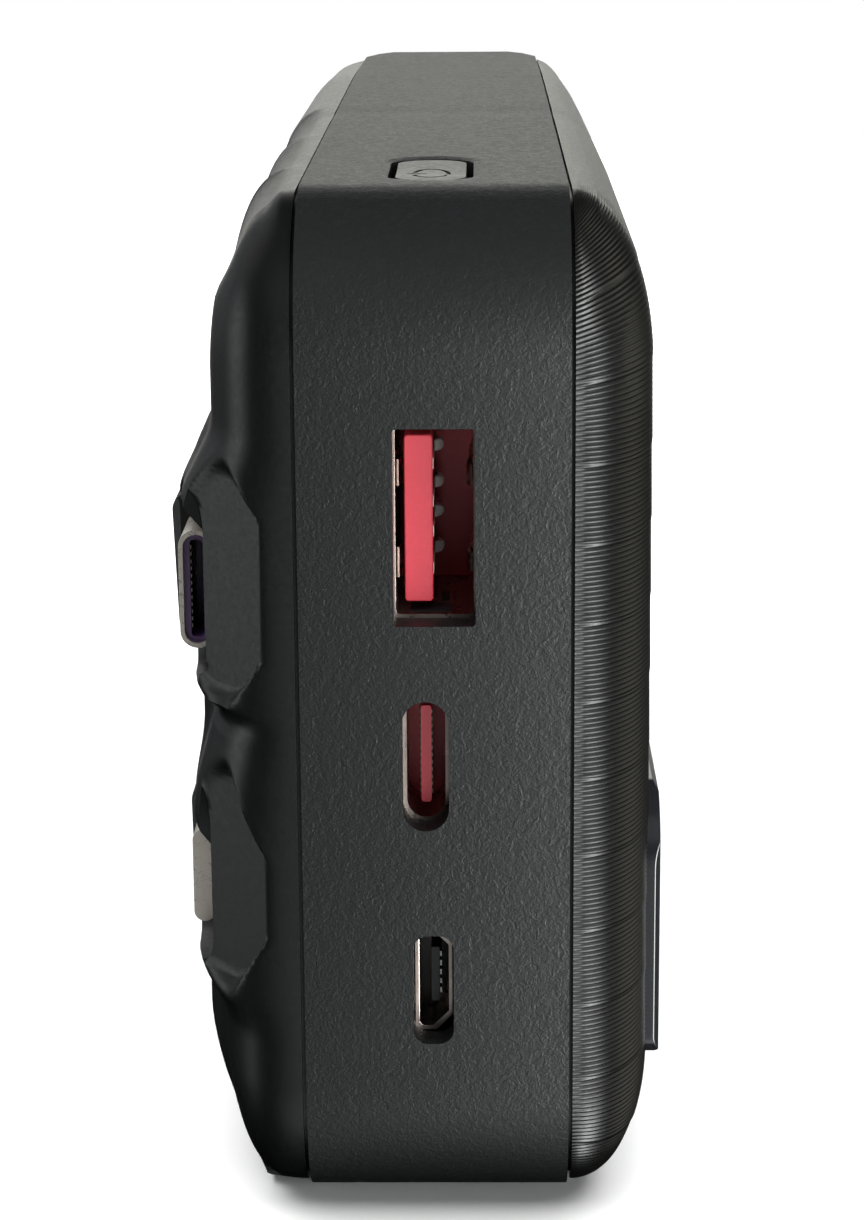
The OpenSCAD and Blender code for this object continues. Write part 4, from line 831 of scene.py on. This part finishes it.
joined("port_a_springs", contact_springs(), "contact_tin", ["usb_a_contacts"])
joined("port_a_leaves", leaf_springs(), "port_steel")
# dark plates of painted shade, where the latch windows would show shadow
joined("port_a_latch_shade", latch_window_shade(), "port_black")


# ---- Flat leads -----------------------------------------------------------------------
def flat_lead(name, node, anchor):
    """A flat lead from its grip to its anchor, with its rings closer together over the last 9 mm, where it
    enters the anchor.
    """
    low, high = corners(node)
    anchor_y = corners(anchor)[0][1]
    cx, cz = (low[0] + high[0]) / 2, (low[2] + high[2]) / 2
    thick, wide = (high[0] - low[0]) / 2, (high[2] - low[2]) / 2
    y0, y1 = low[1] - 0.6, anchor_y + 0.5
    angles = np.linspace(0, 2 * math.pi, 33)[:-1]
    section = np.stack([thick * np.sign(np.cos(angles)) * np.abs(np.cos(angles)) ** 0.55,
                        wide * np.sign(np.sin(angles)) * np.abs(np.sin(angles)) ** 0.75], -1)
    ys = np.concatenate([np.arange(y0, y1 - 9, 4.0), np.arange(y1 - 9, y1 + 0.01, 0.35)])
    points = np.array([[cx + a, y, cz + b] for y in ys for a, b in section])
    mesh = mesh_from(name, points, ring_faces(len(ys), len(section)))
    piece = finish_mesh(name, mesh, "lead_rubber", None, [node])
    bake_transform(piece)


flat_lead("lead_c", "type_c_lead", "type_c_anchor")
flat_lead("lead_slim", "slim_lead", "slim_anchor")

# ---- Floor and light ------------------------------------------------------------------
FLOOR_X, FLOOR_NEAR, FLOOR_FAR, FLOOR_Z = 0.7, -0.6, 0.7, -0.0002
floor_mesh = bpy.data.meshes.new("floor")
floor_mesh.from_pydata([(-FLOOR_X, FLOOR_NEAR, FLOOR_Z), (FLOOR_X, FLOOR_NEAR, FLOOR_Z),
                        (FLOOR_X, FLOOR_FAR, FLOOR_Z), (-FLOOR_X, FLOOR_FAR, FLOOR_Z)], [], [(0, 1, 2, 3)])
floor = bpy.data.objects.new("floor", floor_mesh)
bpy.context.scene.collection.objects.link(floor)
paper = Nodes("pale_floor")
paper.set(Base_Color=paper.blend(paper.noise(30, 2.0), (0.88, 0.88, 0.88), (0.9, 0.9, 0.9)), Roughness=0.9,
          Specular_IOR_Level=0.1)
floor_mesh.materials.append(paper.material)
floor.visible_glossy = False


light = bpy.data.lights.new("top_softbox", "AREA")
light.shape, light.size, light.size_y = "RECTANGLE", 2.2, 2.2
light.energy = 62.0
softbox = bpy.data.objects.new("top_softbox", light)
bpy.context.scene.collection.objects.link(softbox)
softbox.location = (0.0, 0.1, 1.1)
softbox.rotation_mode = "QUATERNION"
softbox.rotation_quaternion = (-softbox.location).to_track_quat("-Z", "Y")
softbox.visible_glossy = False              # it gives diffuse light only
softbox.visible_camera = False

world = bpy.data.worlds.new("studio")
bpy.context.scene.world = world
world.use_nodes = True
tree = world.node_tree
tree.nodes.clear()


def world_node(kind, links=(), **values):
    """A node of the world with its links by input and its own values."""
    node = tree.nodes.new("ShaderNode" + kind)
    for key, value in values.items():
        setattr(node, key, value)
    for key, source in links:
        tree.links.new(source, node.inputs[key])
    return node


where = world_node("TexCoord").outputs["Generated"]


def lobe(azimuth, elevation, outer, colour, scale=(1, 1, 1)):
    """Light from one side of the studio, which is gone at outer degrees; scale makes it wider."""
    inner, a, e = 3, math.radians(azimuth), math.radians(elevation)
    centre = Vector((math.sin(a) * math.cos(e) * scale[0], -math.cos(a) * math.cos(e) * scale[1],
                     math.sin(e) * scale[2])).normalized()
    stretch = world_node("VectorMath", [(0, where)], operation="MULTIPLY")
    stretch.inputs[1].default_value = scale
    unit = world_node("VectorMath", [(0, stretch.outputs[0])], operation="NORMALIZE")
    dot = world_node("VectorMath", [(0, unit.outputs[0])], operation="DOT_PRODUCT")
    dot.inputs[1].default_value = centre
    fall = world_node("MapRange", [("Value", dot.outputs["Value"])], interpolation_type="SMOOTHSTEP")
    fall.inputs["From Min"].default_value = math.cos(math.radians(outer))
    fall.inputs["From Max"].default_value = math.cos(math.radians(inner))
    tint = world_node("Mix", data_type="RGBA")
    tree.links.new(fall.outputs["Result"], tint.inputs["Factor"])
    tint.inputs["A"].default_value = (0, 0, 0, 1)
    tint.inputs["B"].default_value = (*colour, 1)
    return tint.outputs["Result"]


def summed(colours):
    total = colours[0]
    for colour in colours[1:]:
        add = world_node("Mix", data_type="RGBA", blend_type="ADD")
        add.inputs["Factor"].default_value = 1.0
        tree.links.new(total, add.inputs["A"])
        tree.links.new(colour, add.inputs["B"])
        total = add.outputs["Result"]
    return total


# Azimuth 0 is the port end, 90 the front cover's side and 180 the far end
sides = summed([
    # the key, between the port end and the front cover, and two dim lights below it
    lobe(45, 2, 26, (12.3, 12.6, 12.5)),
    lobe(45, -22, 26, (15.6, 16.2, 16.0)),
    lobe(36, -45, 30, (1.5, 1.6, 1.6)),
    lobe(24, -14, 30, (0.6, 0.63, 0.63)),
    # the back cover's side, and below and above the port end
    lobe(-90, 0, 28, (1.65, 1.75, 1.75)),
    lobe(0, -42, 28, (0.6, 0.64, 0.64)),
    lobe(0, 45, 30, (0.3, 0.32, 0.32)),
    # behind the far end, and beyond the front and back covers
    lobe(180, 0, 30, (2.2, 2.2, 2.05), (1.6, 1, 1)),
    lobe(112, 0, 28, (0.95, 0.93, 0.8)),
    lobe(-108, 45, 30, (0.45, 0.45, 0.42)),
    lobe(-140, 18, 36, (0.3, 0.31, 0.32)),
])
# the camera sees plain white beyond the floor
lit = world_node("Background", [("Color", sides)])
seen = world_node("Background")
seen.inputs["Color"].default_value = (1, 1, 1, 1)
path = world_node("LightPath")
mix = world_node("MixShader", [(0, path.outputs["Is Camera Ray"]), (1, lit.outputs[0]), (2, seen.outputs[0])])
world_node("OutputWorld", [("Surface", mix.outputs[0])])
bpy.context.scene.view_settings.view_transform = "Standard"
